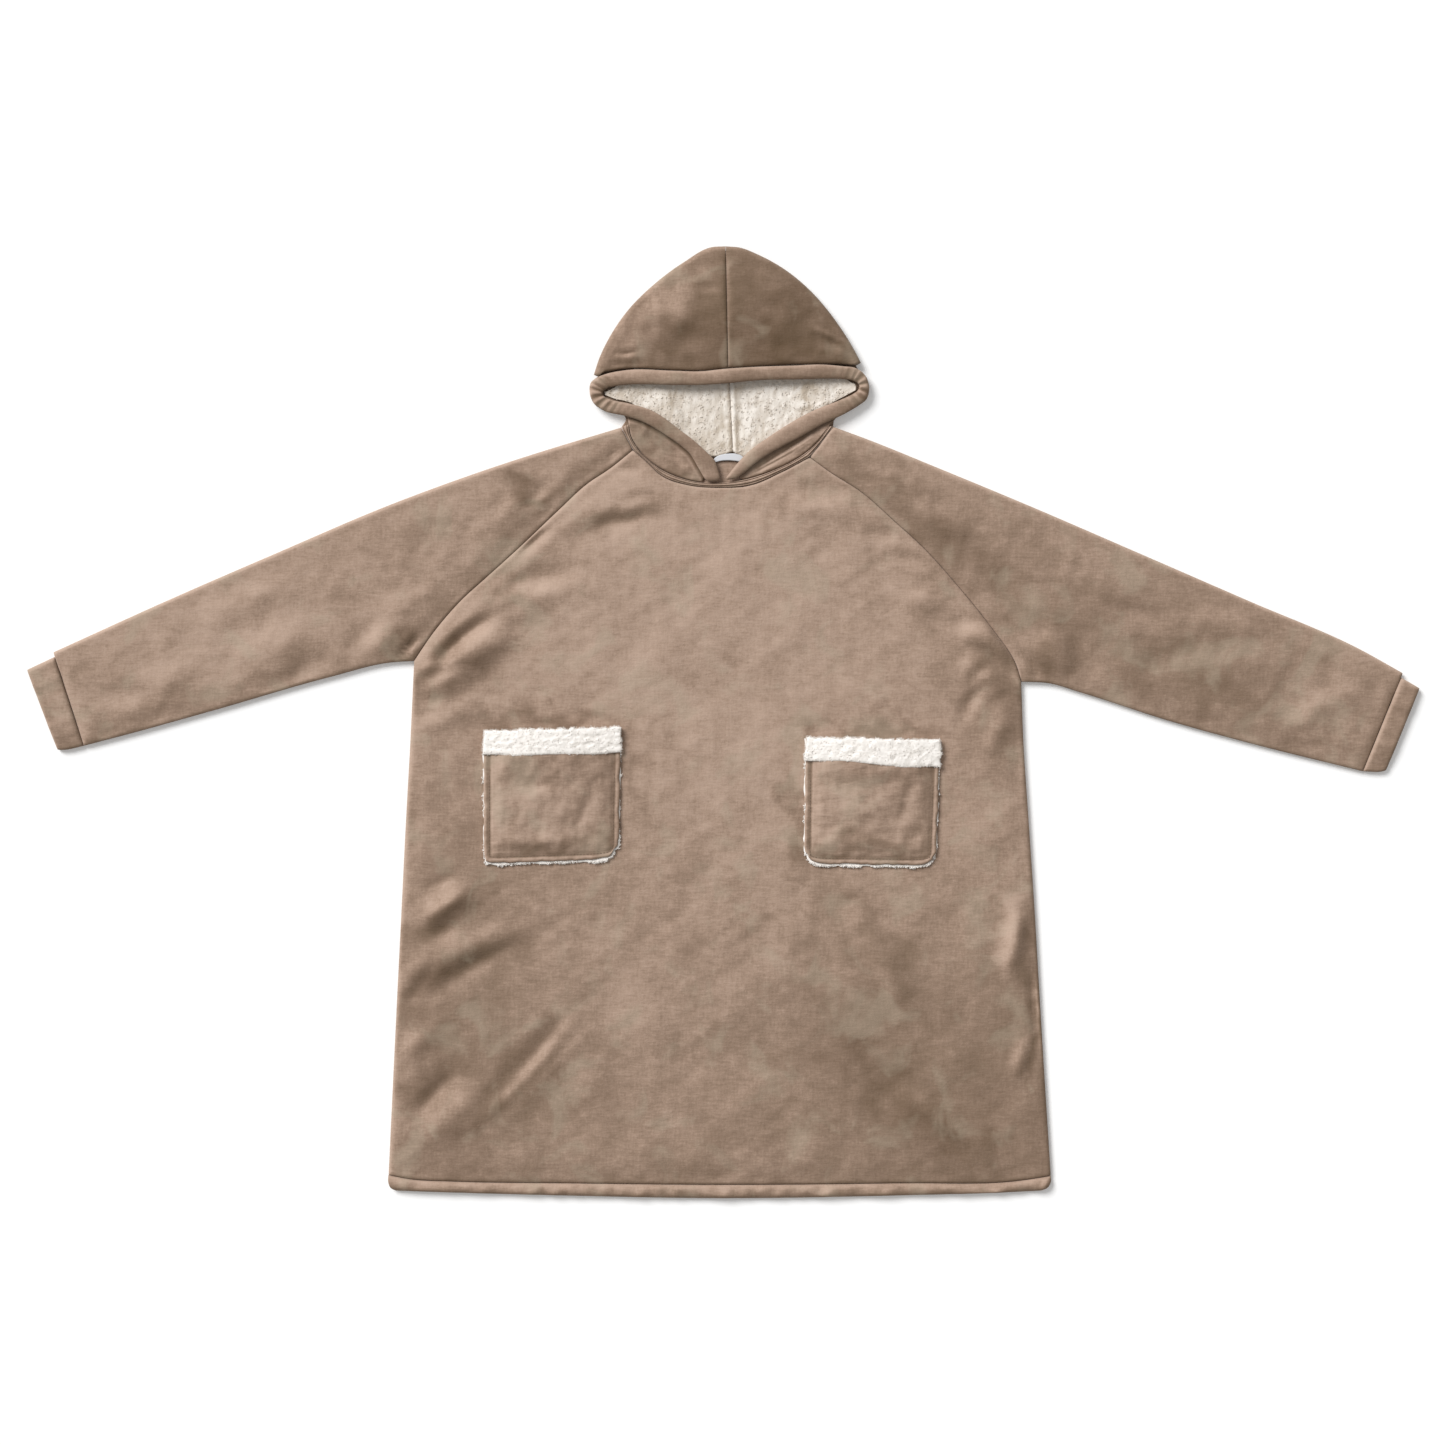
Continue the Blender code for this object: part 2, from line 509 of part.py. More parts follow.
def build_cuff(name, shoulder, underarm, far_edge):
    """A cuff round the end of a sleeve, a little narrower than it, rounded at the wrist."""
    sleeve_top, sleeve_low = np.array(shoulder[-1], float), np.array(underarm[-1], float)
    far_top, far_low = np.array(far_edge, float)
    outwards = (far_low - sleeve_low) / np.linalg.norm(far_low - sleeve_low)
    step = (sleeve_low - sleeve_top) * CUFF_STEP / np.linalg.norm(sleeve_low - sleeve_top)
    near_top = sleeve_top + step + outwards * 2 * HALF_SEAM
    near_low = sleeve_low + outwards * 2 * HALF_SEAM
    rows = np.array(CUFF_ROWS)[:, None]
    front, back, inward = folded_plans(
        near_low + (far_low - near_low) * rows, near_top + (far_top - near_top) * rows, CUFF_FOLD
    )
    from_seam, _, _, from_wrist = inset(front)
    low = np.full(front.shape[:-1], 2 * CUFF_FOLD - WALL)
    low = LAYER_2 + (low - LAYER_2) * eased(from_seam / RISE)
    wall = WALL * edge_taper(from_seam, SIDE_TAPER) * edge_taper(from_wrist, SEAM_TAPER)
    back_low = WALL * (1.0 - edge_taper(from_seam, SIDE_TAPER))[:, ::-1]
    back_high = np.full_like(back_low, WALL)
    fold_line = front[:, -1] - inward * CUFF_FOLD
    layers = (low, low + wall), (back_low, back_high)
    return folded_wall(name, front, back, fold_line, inward, *layers, FLEECE)


def build_hem_band():
    """The hem casing round the bottom: front strip, a turn at the right side, and the back strip."""
    columns = edge_spaced(np.linalg.norm(np.subtract(SIDE_RIGHT[0], SIDE_LEFT[0])), PANEL_COLUMNS)
    rows, bulge, turn_up = np.array(HEM_ROWS).T
    seam = through(HEM_SEAM, columns) - (0.0, HALF_SEAM)
    edge = through(HEM_EDGE, columns)
    left, right = through(HEM_CORNER_LEFT, rows), through(HEM_CORNER_RIGHT, rows)
    front = seam * (1 - rows[:, None, None]) + edge * rows[:, None, None]
    ends = left[:, None] * (1 - columns[:, None]) + right[:, None] * columns[:, None]
    straight = front[:, :1] * (1 - columns[:, None]) + front[:, -1:] * columns[:, None]
    front += ends - straight
    front[0, :, 1] = seam[:, 1]
    inward = front[:, -3] - front[:, -1]
    inward /= np.linalg.norm(inward, axis=1)[:, None]
    fold_line = front[:, -1].copy()
    front[:, -1] += inward * HEM_FOLD
    keep = np.arange(front.shape[1]) != front.shape[1] - 2
    front = front[:, keep]
    low = np.full(front.shape[:-1], LAYER_2 + SEAM)
    high = np.broadcast_to(LAYER_2 + WALL + bulge[:, None], front.shape[:-1])
    back_low = np.broadcast_to(turn_up[:, None], front.shape[:-1])
    back_high = np.full(front.shape[:-1], WALL)
    layers = (low, high), (back_low, back_high)
    return folded_wall("hem_band", front, front[:, ::-1], fold_line, inward, *layers, FLEECE)


def neck_columns():
    """Fractions of the neck seams at which the body panels have their columns."""
    return edge_spaced(np.linalg.norm(np.subtract(RAGLAN_RIGHT[0], RAGLAN_LEFT[0])), PANEL_COLUMNS)


def hood_neck_line(side):
    """The back neck seam of one hood half, from the centre to the raglan and on up the sleeve's top edge."""
    line = through(NECK_BACK, neck_columns())
    middle = len(line) // 2
    line = line[middle::-1] if side < 0 else line[middle:]
    top = through(NECK_SLEEVE_LEFT if side < 0 else NECK_SLEEVE_RIGHT, (0.5, 1.0))
    line = line + (0.0, HALF_SEAM)
    top = top + (-side * 2 * HALF_SEAM, HALF_SEAM)
    return np.concatenate((line, top))


def build_hood_half(name, side, crown, casing_seam, hood_side):
    """Half the hood: a top layer from the casing to the crown, the fold, and the back layer to the neck."""
    neck = hood_neck_line(side)
    run = np.concatenate(([0.0], np.cumsum(np.linalg.norm(np.diff(neck, axis=0), axis=1))))
    stations = run / run[-1]
    fold_line = through(crown, stations)
    tangent = through(crown, stations + TANGENT_STEP) - through(crown, stations - TANGENT_STEP)
    inward = side * np.stack((tangent[:, 1], -tangent[:, 0]), axis=1)
    inward /= np.linalg.norm(inward, axis=1)[:, None]
    opening = through(casing_seam, stations)
    centre_seam = opening[0] - fold_line[0]
    inward[0] = centre_seam / np.linalg.norm(centre_seam)
    fold_start = fold_line + inward * HOOD_FOLD
    across = np.linspace(0.0, 1.0, HOOD_COLUMNS)[:, None]
    front = opening[:, None] * (1 - across) + fold_start[:, None] * across
    back = fold_start[:, None] * (1 - across) + neck[:, None] * across
    side_line = through(hood_side, across[:, 0])
    side_shift = side_line - back[-1]
    back[:, 1:] += (stations**2)[:, None, None] * side_shift[1:]
    for plan in (front, back):
        plan[0, :, 0] += side * HALF_SEAM
    fold_line[0, 0] += side * HALF_SEAM
    casing_low = CASING_LOW_CORNER + (CASING_LOW_CENTRE - CASING_LOW_CORNER) * (1.0 - stations**2)[:, None]
    at_fold = 2 * HOOD_FOLD - WALL
    puff = CROWN_PUFF * (1.0 - stations**2)[:, None] * np.sin(np.pi * across[:, 0])
    low = casing_low + (at_fold - casing_low) * across[:, 0] + puff
    back_low = np.zeros(back.shape[:-1])
    back_high = np.full(back.shape[:-1], WALL)
    layers = (low, low + WALL), (back_low, back_high)
    return folded_wall(name, front, back, fold_line, inward, *layers, DARK_FLEECE)


def between(first, second, rows, columns):
    """A grid of plan points between two curves."""
    stations = np.linspace(0.0, 1.0, rows)
    first, second = through(first, stations), through(second, stations)
    across = np.linspace(0.0, 1.0, columns)[:, None]
    return first[:, None] * (1 - across) + second[:, None] * across


def build_lining(name, side, top, low):
    """Sherpa on the hood's back layer, from under the top layer down to the neck."""
    plan = between(top, low, LINING_ROWS, LINING_COLUMNS)
    plan[0, :, 0] += side * HALF_SEAM
    return thick_sheet(name, with_heights(plan, LAYER_2), SHERPA_WALL, SHERPA)


def build_hood_front(name, top, tape_share):
    """The lower front of a hood half: from the neck tape to the casing, and on under the casing."""
    stations = np.linspace(0.0, 1.0, THROAT_ROWS)
    upper = through(top, stations)
    lower = through(TAPE_TOP, tape_share[0] + (tape_share[1] - tape_share[0]) * stations)
    away = upper - lower
    lower = lower + THROAT_GAP * away / np.linalg.norm(away, axis=1)[:, None]
    across = np.linspace(0.0, 1.0, THROAT_COLUMNS)[:, None]
    plan = upper[:, None] * (1 - across) + lower[:, None] * across
    return thick_sheet(name, with_heights(plan, LAYER_2), WALL, DARK_FLEECE)


def build_hood_rim():
    """The casing round the face opening, from the throat up one side, over the top and down the other."""
    rows = np.array(CASING, float)
    return strip("hood_rim", rows[:, 0:2], rows[:, 2:4], rows[:, 4], rows[:, 5], DARK_FLEECE)


def build_neck_band():
    """The tape over the neck seam: its lower edge follows the sleeves' tops and the front's scoop."""
    scoop = through(NECK_FRONT, neck_columns())
    lower = np.concatenate(
        (through(NECK_SLEEVE_LEFT, (1.0, 0.5)), scoop, through(NECK_SLEEVE_RIGHT, (0.5, 1.0)))
    )
    run = np.concatenate(([0.0], np.cumsum(np.linalg.norm(np.diff(lower, axis=0), axis=1))))
    upper = through(TAPE_TOP, run / run[-1])
    towards = (upper - lower) / np.linalg.norm(upper - lower, axis=1)[:, None]
    lower = lower + towards * 2 * HALF_SEAM
    upper = upper - towards * 2 * HALF_SEAM
    low = np.full(len(lower), TAPE_LOW)
    return strip("neck_band", upper, lower, low, np.full(len(lower), TAPE_HIGH), FLEECE)


def pocket_plan(pocket, grow):
    """Plan points of a pocket, rows from its bottom to its mouth; grow moves its sides and bottom out."""
    low_left = np.add(pocket.low_left, (-grow, -grow))
    low_right = np.add(pocket.low_right, (grow, -grow))
    top_left = np.add(pocket.top_left, (-grow, 0.0))
    top_right = np.add(pocket.top_right, (grow, 0.0))
    up = np.linspace(0.0, 1.0, POCKET_ROWS)[:, None, None]
    across = np.linspace(0.0, 1.0, POCKET_COLUMNS)[:, None]
    bottom = low_left * (1 - across) + low_right * across
    top = top_left * (1 - across) + top_right * across
    plan = bottom * (1 - up) + top * up
    corner = POCKET_CORNER * np.abs(2 * across[:, 0] - 1.0) ** POCKET_CORNER_POWER
    plan[..., 1] += corner * (1.0 - eased(up[..., 0] * (POCKET_ROWS - 1) / 2))
    return plan


def pouch(pocket, plan):
    """How far the pocket stands off the front: nothing along its sewn edges, most at its mouth."""
    bottom, mouth = pocket.low_left[1], pocket.top_left[1]
    up = (plan[..., 1] - bottom) / (mouth - bottom)
    left = pocket.low_left[0] + (pocket.top_left[0] - pocket.low_left[0]) * up + POCKET_LEVEL_EDGE
    right = pocket.low_right[0] + (pocket.top_right[0] - pocket.low_right[0]) * up - POCKET_LEVEL_EDGE
    across = np.clip((plan[..., 0] - left) / (right - left), 0.0, 1.0)
    return POCKET_POUCH * eased(up * POCKET_FILL_RATE) * np.sin(np.pi * across)


def build_pocket(pocket):
    """A patch pocket: the fleece square, and under it the sherpa backing that pokes out at its raw edges."""
    plan = pocket_plan(pocket, RAW_EDGE)
    grid = with_heights(plan, BACKING_BASE + pouch(pocket, plan))
    thick_sheet("pocket_backing_" + pocket.name, grid, POCKET_BACKING_WALL, SHERPA)
    plan = pocket_plan(pocket, 0.0)
    grid = with_heights(plan, POCKET_BASE + pouch(pocket, plan))
    thick_sheet("pocket_" + pocket.name, grid, POCKET_WALL, FLEECE)


def build_pocket_trim(pocket):
    """The pocket's turned-out top edge: a sherpa band on the fleece, a little proud of the mouth."""
    top_left, top_right = np.array(pocket.top_left, float), np.array(pocket.top_right, float)
    low_left = np.array((pocket.top_left[0], pocket.trim_left), float)
    low_right = np.array((pocket.top_right[0], pocket.trim_right), float)
    up = np.linspace(0.0, 1.0, TRIM_ROWS)[:, None, None]
    across = np.linspace(0.0, 1.0, POCKET_COLUMNS)[:, None]
    proud = np.array((0.0, TRIM_PROUD))
    plan = (low_left * (1 - across) + low_right * across) * (1 - up)
    plan += (top_left * (1 - across) + top_right * across + proud) * up
    grid = with_heights(plan, TRIM_BASE + pouch(pocket, plan))
    thick_sheet("pocket_trim_" + pocket.name, grid, TRIM_WALL, SHERPA)


def build_label():
    """A small bare tab at the back of the neck."""
    plan = between(LABEL_TOP, LABEL_LOW, LABEL_ROWS, 2)
    thick_sheet("neck_label", with_heights(plan, LAYER_2), LABEL_WALL, SATIN)


def material(finish):
    """The plain material of a finish, made once."""
    made = bpy.data.materials.get(finish.name)
    if made is None:
        made = bpy.data.materials.new(finish.name)
        made.use_nodes = True
        shader = made.node_tree.nodes["Principled BSDF"]
        shader.inputs["Base Color"].default_value = (finish.red, finish.green, finish.blue, 1.0)
        shader.inputs["Roughness"].default_value = finish.roughness
        shader.inputs["Metallic"].default_value = 0.0
    return made


def main():
    """Clear the scene and build every piece of the garment."""
    for old in list(bpy.data.objects):
        bpy.data.objects.remove(old)
    garment = bpy.data.collections.new("wearable_blanket")
    bpy.context.scene.collection.children.link(garment)
    build_back_panel()
    build_front_panel()
    build_sleeve("sleeve_left", -1, RAGLAN_LEFT, SHOULDER_LEFT, UNDERARM_LEFT)
    build_sleeve("sleeve_right", 1, RAGLAN_RIGHT, SHOULDER_RIGHT, UNDERARM_RIGHT)
    build_cuff("cuff_left", SHOULDER_LEFT, UNDERARM_LEFT, CUFF_END_LEFT)
    build_cuff("cuff_right", SHOULDER_RIGHT, UNDERARM_RIGHT, CUFF_END_RIGHT)
    build_hem_band()
    build_hood_half("hood_left", -1, CROWN_LEFT, CASING_SEAM_LEFT, HOOD_SIDE_LEFT)
    build_hood_half("hood_right", 1, CROWN_RIGHT, CASING_SEAM_RIGHT, HOOD_SIDE_RIGHT)
    build_lining("hood_lining_left", -1, LINING_TOP_LEFT, LINING_LOW_LEFT)
    build_lining("hood_lining_right", 1, LINING_TOP_RIGHT, LINING_LOW_RIGHT)
    build_hood_front("hood_front_left", THROAT_TOP_LEFT, THROAT_SHARE_LEFT)
    build_hood_front("hood_front_right", THROAT_TOP_RIGHT, THROAT_SHARE_RIGHT)
    build_hood_rim()
    build_neck_band()
    for pocket in POCKETS:
        build_pocket(pocket)
        build_pocket_trim(pocket)
    build_label()


main()
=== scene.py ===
"""A wearable blanket hoodie laid flat, seen from above: plush fleece, sherpa, seams and folds.

Every piece of cloth is a thin closed shell worked out on rows and columns of points, in the row frame: +X to
the picture's right, +Y from the hem to the hood, +Z up. Tables are in millimetres and meshes in metres.
"""

import logging
import math
from dataclasses import dataclass
from enum import Enum

import bpy
import numpy as np
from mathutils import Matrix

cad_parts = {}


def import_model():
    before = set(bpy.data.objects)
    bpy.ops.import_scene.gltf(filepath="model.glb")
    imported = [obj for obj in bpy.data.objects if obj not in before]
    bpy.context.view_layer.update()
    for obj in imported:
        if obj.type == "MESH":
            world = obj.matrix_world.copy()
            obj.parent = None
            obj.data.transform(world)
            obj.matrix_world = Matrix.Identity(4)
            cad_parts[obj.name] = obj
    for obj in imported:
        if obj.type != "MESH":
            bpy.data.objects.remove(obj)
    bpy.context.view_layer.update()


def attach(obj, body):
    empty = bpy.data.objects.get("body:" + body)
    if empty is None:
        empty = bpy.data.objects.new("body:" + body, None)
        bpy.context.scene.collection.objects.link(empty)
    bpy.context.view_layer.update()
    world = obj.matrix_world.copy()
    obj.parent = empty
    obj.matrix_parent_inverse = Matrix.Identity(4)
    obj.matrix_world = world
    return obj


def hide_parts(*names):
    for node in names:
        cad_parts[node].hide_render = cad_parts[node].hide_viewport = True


LOG = logging.getLogger("garment")
METRE = 0.001
FLOOR_HEIGHT = -0.0008
ROOT = "root"

# Cloth and layers
WALL = 4.0
LAYER_2 = 4.3
LOFT = 2.0
RISE = 30.0
HALF_SEAM = 0.15
EDGE_STEPS = np.array((0.0, 0.5, 1.2, 2.4, 4.2, 7.0))
THINNEST = 0.8
ARC_STEPS = 9
TUBE_SIDES = 4

# Rough lengths of seams and edges, which space out the points at their ends
SIDE_LENGTH = 640.0
RAGLAN_LENGTH = 380.0
UNDERARM_LENGTH = 420.0
CUFF_LENGTH = 36.0
HEM_LENGTH = 829.0
HOOD_LENGTH = 180.0
LINING_LENGTH = 200.0
POCKET_HEIGHT = 164.0
POCKET_WIDTH = 170.0
TRIM_HEIGHT = 36.0

# Folds and painted light: how strongly the tables' creases are raised, where in plan the painted light comes
# from, and how much lighter a slope facing it is painted (and one facing away darker)
FOLD_GAIN = 1.6
PAINTED_LIGHT_FROM = np.array((-0.66, 0.75))
SLOPE_PAINTED_LIGHT = 2.1
SLOPE_MOST = 0.30

# Outline of the body, from the hem up
SIDE_LEFT = ((-418, -566), (-408, -358), (-402, -238), (-396, -118), (-391, -28), (-386, 77))
SIDE_RIGHT = ((411, -567), (398, -358), (391, -238), (383, -118), (377, -28), (374, 51))
HEM_SEAM = ((-418, -566), (-391, -571), (-334, -574), (-203, -576), (22, -578), (222, -576), (371, -573),
            (411, -567))
HEM_EDGE = ((-408, -586), (-348, -588), (-203, -592), (0, -595.5), (222, -592), (357, -588), (399, -586))
HEM_CORNER_LEFT = ((-418, -566.5), (-418, -574), (-415, -582), (-408, -586))
HEM_CORNER_RIGHT = ((411, -567.5), (411, -575), (407, -582), (399, -586))

# Raglan seams, from the neck down to the armpit
RAGLAN_LEFT = ((-112, 341), (-142, 317), (-169, 299), (-205, 266), (-250, 223), (-294, 183), (-328, 152),
               (-363, 111), (-386, 77))
RAGLAN_RIGHT = ((109, 332), (135, 313), (174, 288), (216, 251), (252, 218), (296, 169), (337, 118),
                (367, 73), (374, 51))

# Neck seams: the front scoop, the shallower back, and the short sleeve tops beside them
NECK_FRONT = ((-112, 341), (-95, 326), (-75, 308), (-42, 297), (-3, 294), (35, 297), (73, 313), (109, 332))
NECK_BACK = ((-112, 341), (-53, 329), (0, 327), (62, 329), (109, 332))
NECK_SLEEVE_LEFT = ((-112, 341), (-121, 358), (-127, 369))
NECK_SLEEVE_RIGHT = ((109, 332), (124, 351), (139, 370))

# Sleeves: the shoulder fold and the underarm seam, from the body out, then the far edge of the cuff
SHOULDER_LEFT = ((-127, 369), (-174, 355), (-267, 326), (-417, 272), (-558, 212), (-696, 152), (-837, 88))
SHOULDER_RIGHT = ((139, 370), (177, 356), (276, 316), (382, 272), (521, 212), (659, 152), (797, 92),
                  (851, 62))
UNDERARM_LEFT = ((-386, 77), (-416, 75), (-491, 57), (-641, 14), (-753, -17), (-799, -29))
UNDERARM_RIGHT = ((374, 51), (409, 49), (447, 38), (559, 2), (672, -29), (801, -61))
CUFF_END_LEFT = ((-870, 66), (-831, -37))
CUFF_END_RIGHT = ((872, 43), (829, -63))
OPPOSITE_ARMPIT = 0.45
CUFF_STEP = 6.0
SLEEVE_FOLD = 4.9
CUFF_FOLD = 5.4

# Hood outline from the crown down to the corner of the face opening, and the seam above its casing
CROWN_LEFT = ((4, 595.6), (-14, 594.5), (-48, 576), (-88, 546), (-118, 516), (-139, 486), (-154, 456),
              (-161, 435))
CROWN_RIGHT = ((4, 595.6), (22, 594), (43, 586), (79, 566), (114, 536), (139, 506), (159, 476), (168, 460),
               (173, 450))
CASING_SEAM_LEFT = ((7, 442.5), (-30, 439), (-62, 440), (-122, 442), (-149, 438))
CASING_SEAM_RIGHT = ((7, 442.5), (49, 445), (122, 448), (145, 448), (157, 447.3))
HOOD_SIDE_LEFT = ((-154, 436), (-160, 416), (-153, 401), (-129, 390), (-121, 380), (-126.5, 369.5))
HOOD_SIDE_RIGHT = ((167, 447), (178, 421), (173, 402), (150, 388), (140, 380), (138.5, 370.5))
HOOD_FOLD = 7.0
CASING_LOW_CENTRE = 16.5
CASING_LOW_CORNER = 9.6
CROWN_PUFF = 5.0
TANGENT_STEP = 0.01

# Sherpa lining in the face opening, from the centre seam out to the corner
LINING_TOP_LEFT = ((7, 458), (-60, 456), (-108, 445), (-124, 427), (-139, 417), (-147, 413))
LINING_LOW_LEFT = ((13, 339), (-14, 333), (-46, 353), (-98, 389), (-116, 400.5), (-136, 405.5), (-147, 410))
LINING_TOP_RIGHT = ((7, 458), (60, 456), (125, 452), (148, 434), (161, 425.5), (167.5, 421.5))
LINING_LOW_RIGHT = ((13, 339), (29, 332), (46, 344), (72, 361), (103, 381), (130, 396), (146, 404.5),
                    (167, 416))

# Lower fronts of the hood, between the neck tape and the casing, from the shoulder to the throat
THROAT_TOP_LEFT = ((-119.5, 384.5), (-100, 383), (-77, 369.5), (-50, 348.5), (-30, 324), (-22.5, 305))
THROAT_TOP_RIGHT = ((145, 384.5), (121, 374.5), (91, 358), (70, 347.5), (42, 329), (20, 309))
THROAT_SHARE_LEFT = (0.01, 0.41)
THROAT_SHARE_RIGHT = (0.99, 0.57)

# The upper edge of the neck tape, from the left shoulder to the right
TAPE_TOP = ((-117, 373.3), (-115, 359), (-104, 340), (-82, 320), (-58, 308), (-22, 300), (3, 300.5),
            (29, 304.5), (67, 317), (99, 334), (119, 351), (133, 371))
TAPE_HIGH = 9.8

# The casing round the face opening: outer edge, inner edge, low and high side
CASING = np.array((
    (-21, 302.5, -2, 303.5, 8.6, 14.0),
    (-30, 318, -8, 324, 8.6, 15.0),
    (-41, 336, -19, 337, 8.6, 15.0),
    (-51, 345, -33, 350, 8.6, 15.0),
    (-68, 357, -51, 364, 8.6, 15.0),
    (-103, 377, -91, 391, 8.6, 15.0),
    (-122, 383, -114, 398, 8.6, 15.0),
    (-149, 390, -138, 403, 7.0, 14.5),
    (-161, 399, -147, 407, 4.4, 14.0),
    (-166, 412, -150, 411, 4.4, 14.0),
    (-164.5, 425, -148, 415, 4.4, 14.5),
    (-157.5, 431, -142.5, 418.5, 7.0, 15.5),
    (-147, 435, -131, 420.5, 9.0, 16.0),
    (-122, 440, -116, 422, 9.6, 17.0),
    (-62, 439, -57, 421, 14.5, 21.5),
    (-30, 438, -25, 421, 16.0, 22.5),
    (7, 441.5, 7, 423, 16.5, 23.0),
    (49, 444, 48, 427, 16.0, 22.5),
    (91, 445.5, 90, 428, 14.0, 21.0),
    (122, 447, 122, 429, 12.0, 19.0),
    (151, 445, 147, 429, 9.6, 16.5),
    (166, 443, 160, 428, 9.0, 15.5),
    (178.5, 434, 168, 425, 4.6, 14.5),
    (183.5, 416, 171, 419, 4.4, 14.0),
    (180, 404, 168, 414, 4.4, 14.0),
    (170, 396, 160, 409, 5.0, 14.5),
    (157, 388, 147, 403, 8.6, 15.0),
    (124, 372, 112, 389, 8.6, 15.0),
    (94, 355, 81, 372, 8.6, 15.0),
    (73, 344, 58, 357, 8.6, 15.0),
    (45, 327, 30, 336, 8.6, 15.0),
    (28, 313, 13, 317, 8.6, 15.0),
    (18, 305.5, 3, 304, 8.6, 14.0),
))


def nearest_on(line: np.ndarray, places: np.ndarray) -> tuple:
    """How far places are from a line of points, and where along it their nearest points are.

    Args:
        line: points in plan, one a row.
        places: places in plan, one a row.

    Returns:
        The distance, and the share of the line's pieces passed, for each place.
    """
    run = np.diff(line, axis=0)
    offset = places[:, None, :] - line[:-1]
    t = np.clip((offset * run).sum(-1) / (run * run).sum(-1), 0.0, 1.0)
    distance = np.linalg.norm(offset - t[..., None] * run, axis=-1)
    nearest = distance.argmin(-1)
    along = (nearest + np.take_along_axis(t, nearest[:, None], -1)[:, 0]) / len(run)
    return distance.min(-1), along


class Profile(Enum):
    """The cross-section of a crease."""

    SOFT = "soft"
    TIGHT = "tight"
    LIPPED = "lipped"


@dataclass(frozen=True)
class Crease:
    """One fold: a bent centre line in plan, half its width, and its height (troughs are negative)."""

    x0: float
    y0: float
    x1: float
    y1: float
    x2: float
    y2: float
    half_width: float
    rise: float
    profile: Profile = Profile.SOFT

    def heights(self, plan: np.ndarray) -> np.ndarray:
        """Height added at each plan point: a bell (or a lipped bell) across, a swell along.

        Args:
            plan: points in plan, any shape with two columns last.

        Returns:
            Heights in millimetres.
        """
        reach = 3.0 * self.half_width
        ends = np.array(((self.x0, self.y0), (self.x1, self.y1), (self.x2, self.y2)), float)
        near = np.all((plan > ends.min(0) - reach) & (plan < ends.max(0) + reach), axis=-1)
        total = np.zeros(plan.shape[:-1])
        if not near.any():
            return total
        steps = np.linspace(0.0, 1.0, 17)[:, None]
        line = (1 - steps) ** 2 * ends[0] + 2 * steps * (1 - steps) * ends[1] + steps**2 * ends[2]
        distance, along = nearest_on(line, plan[near])
        swell = np.sin(np.pi * np.clip(along, 0.02, 0.98)) ** 0.7
        u = distance / self.half_width
        if self.profile is Profile.SOFT:
            shape = np.exp(-(u**2))
        elif self.profile is Profile.TIGHT:
            shape = np.exp(-(u**1.2) * 1.4)
        else:
            shape = (1.0 - 1.6 * u**2) * np.exp(-(u**2))
        total[near] = self.rise * swell * shape
        return total


TIGHT, LIPPED = Profile.TIGHT, Profile.LIPPED

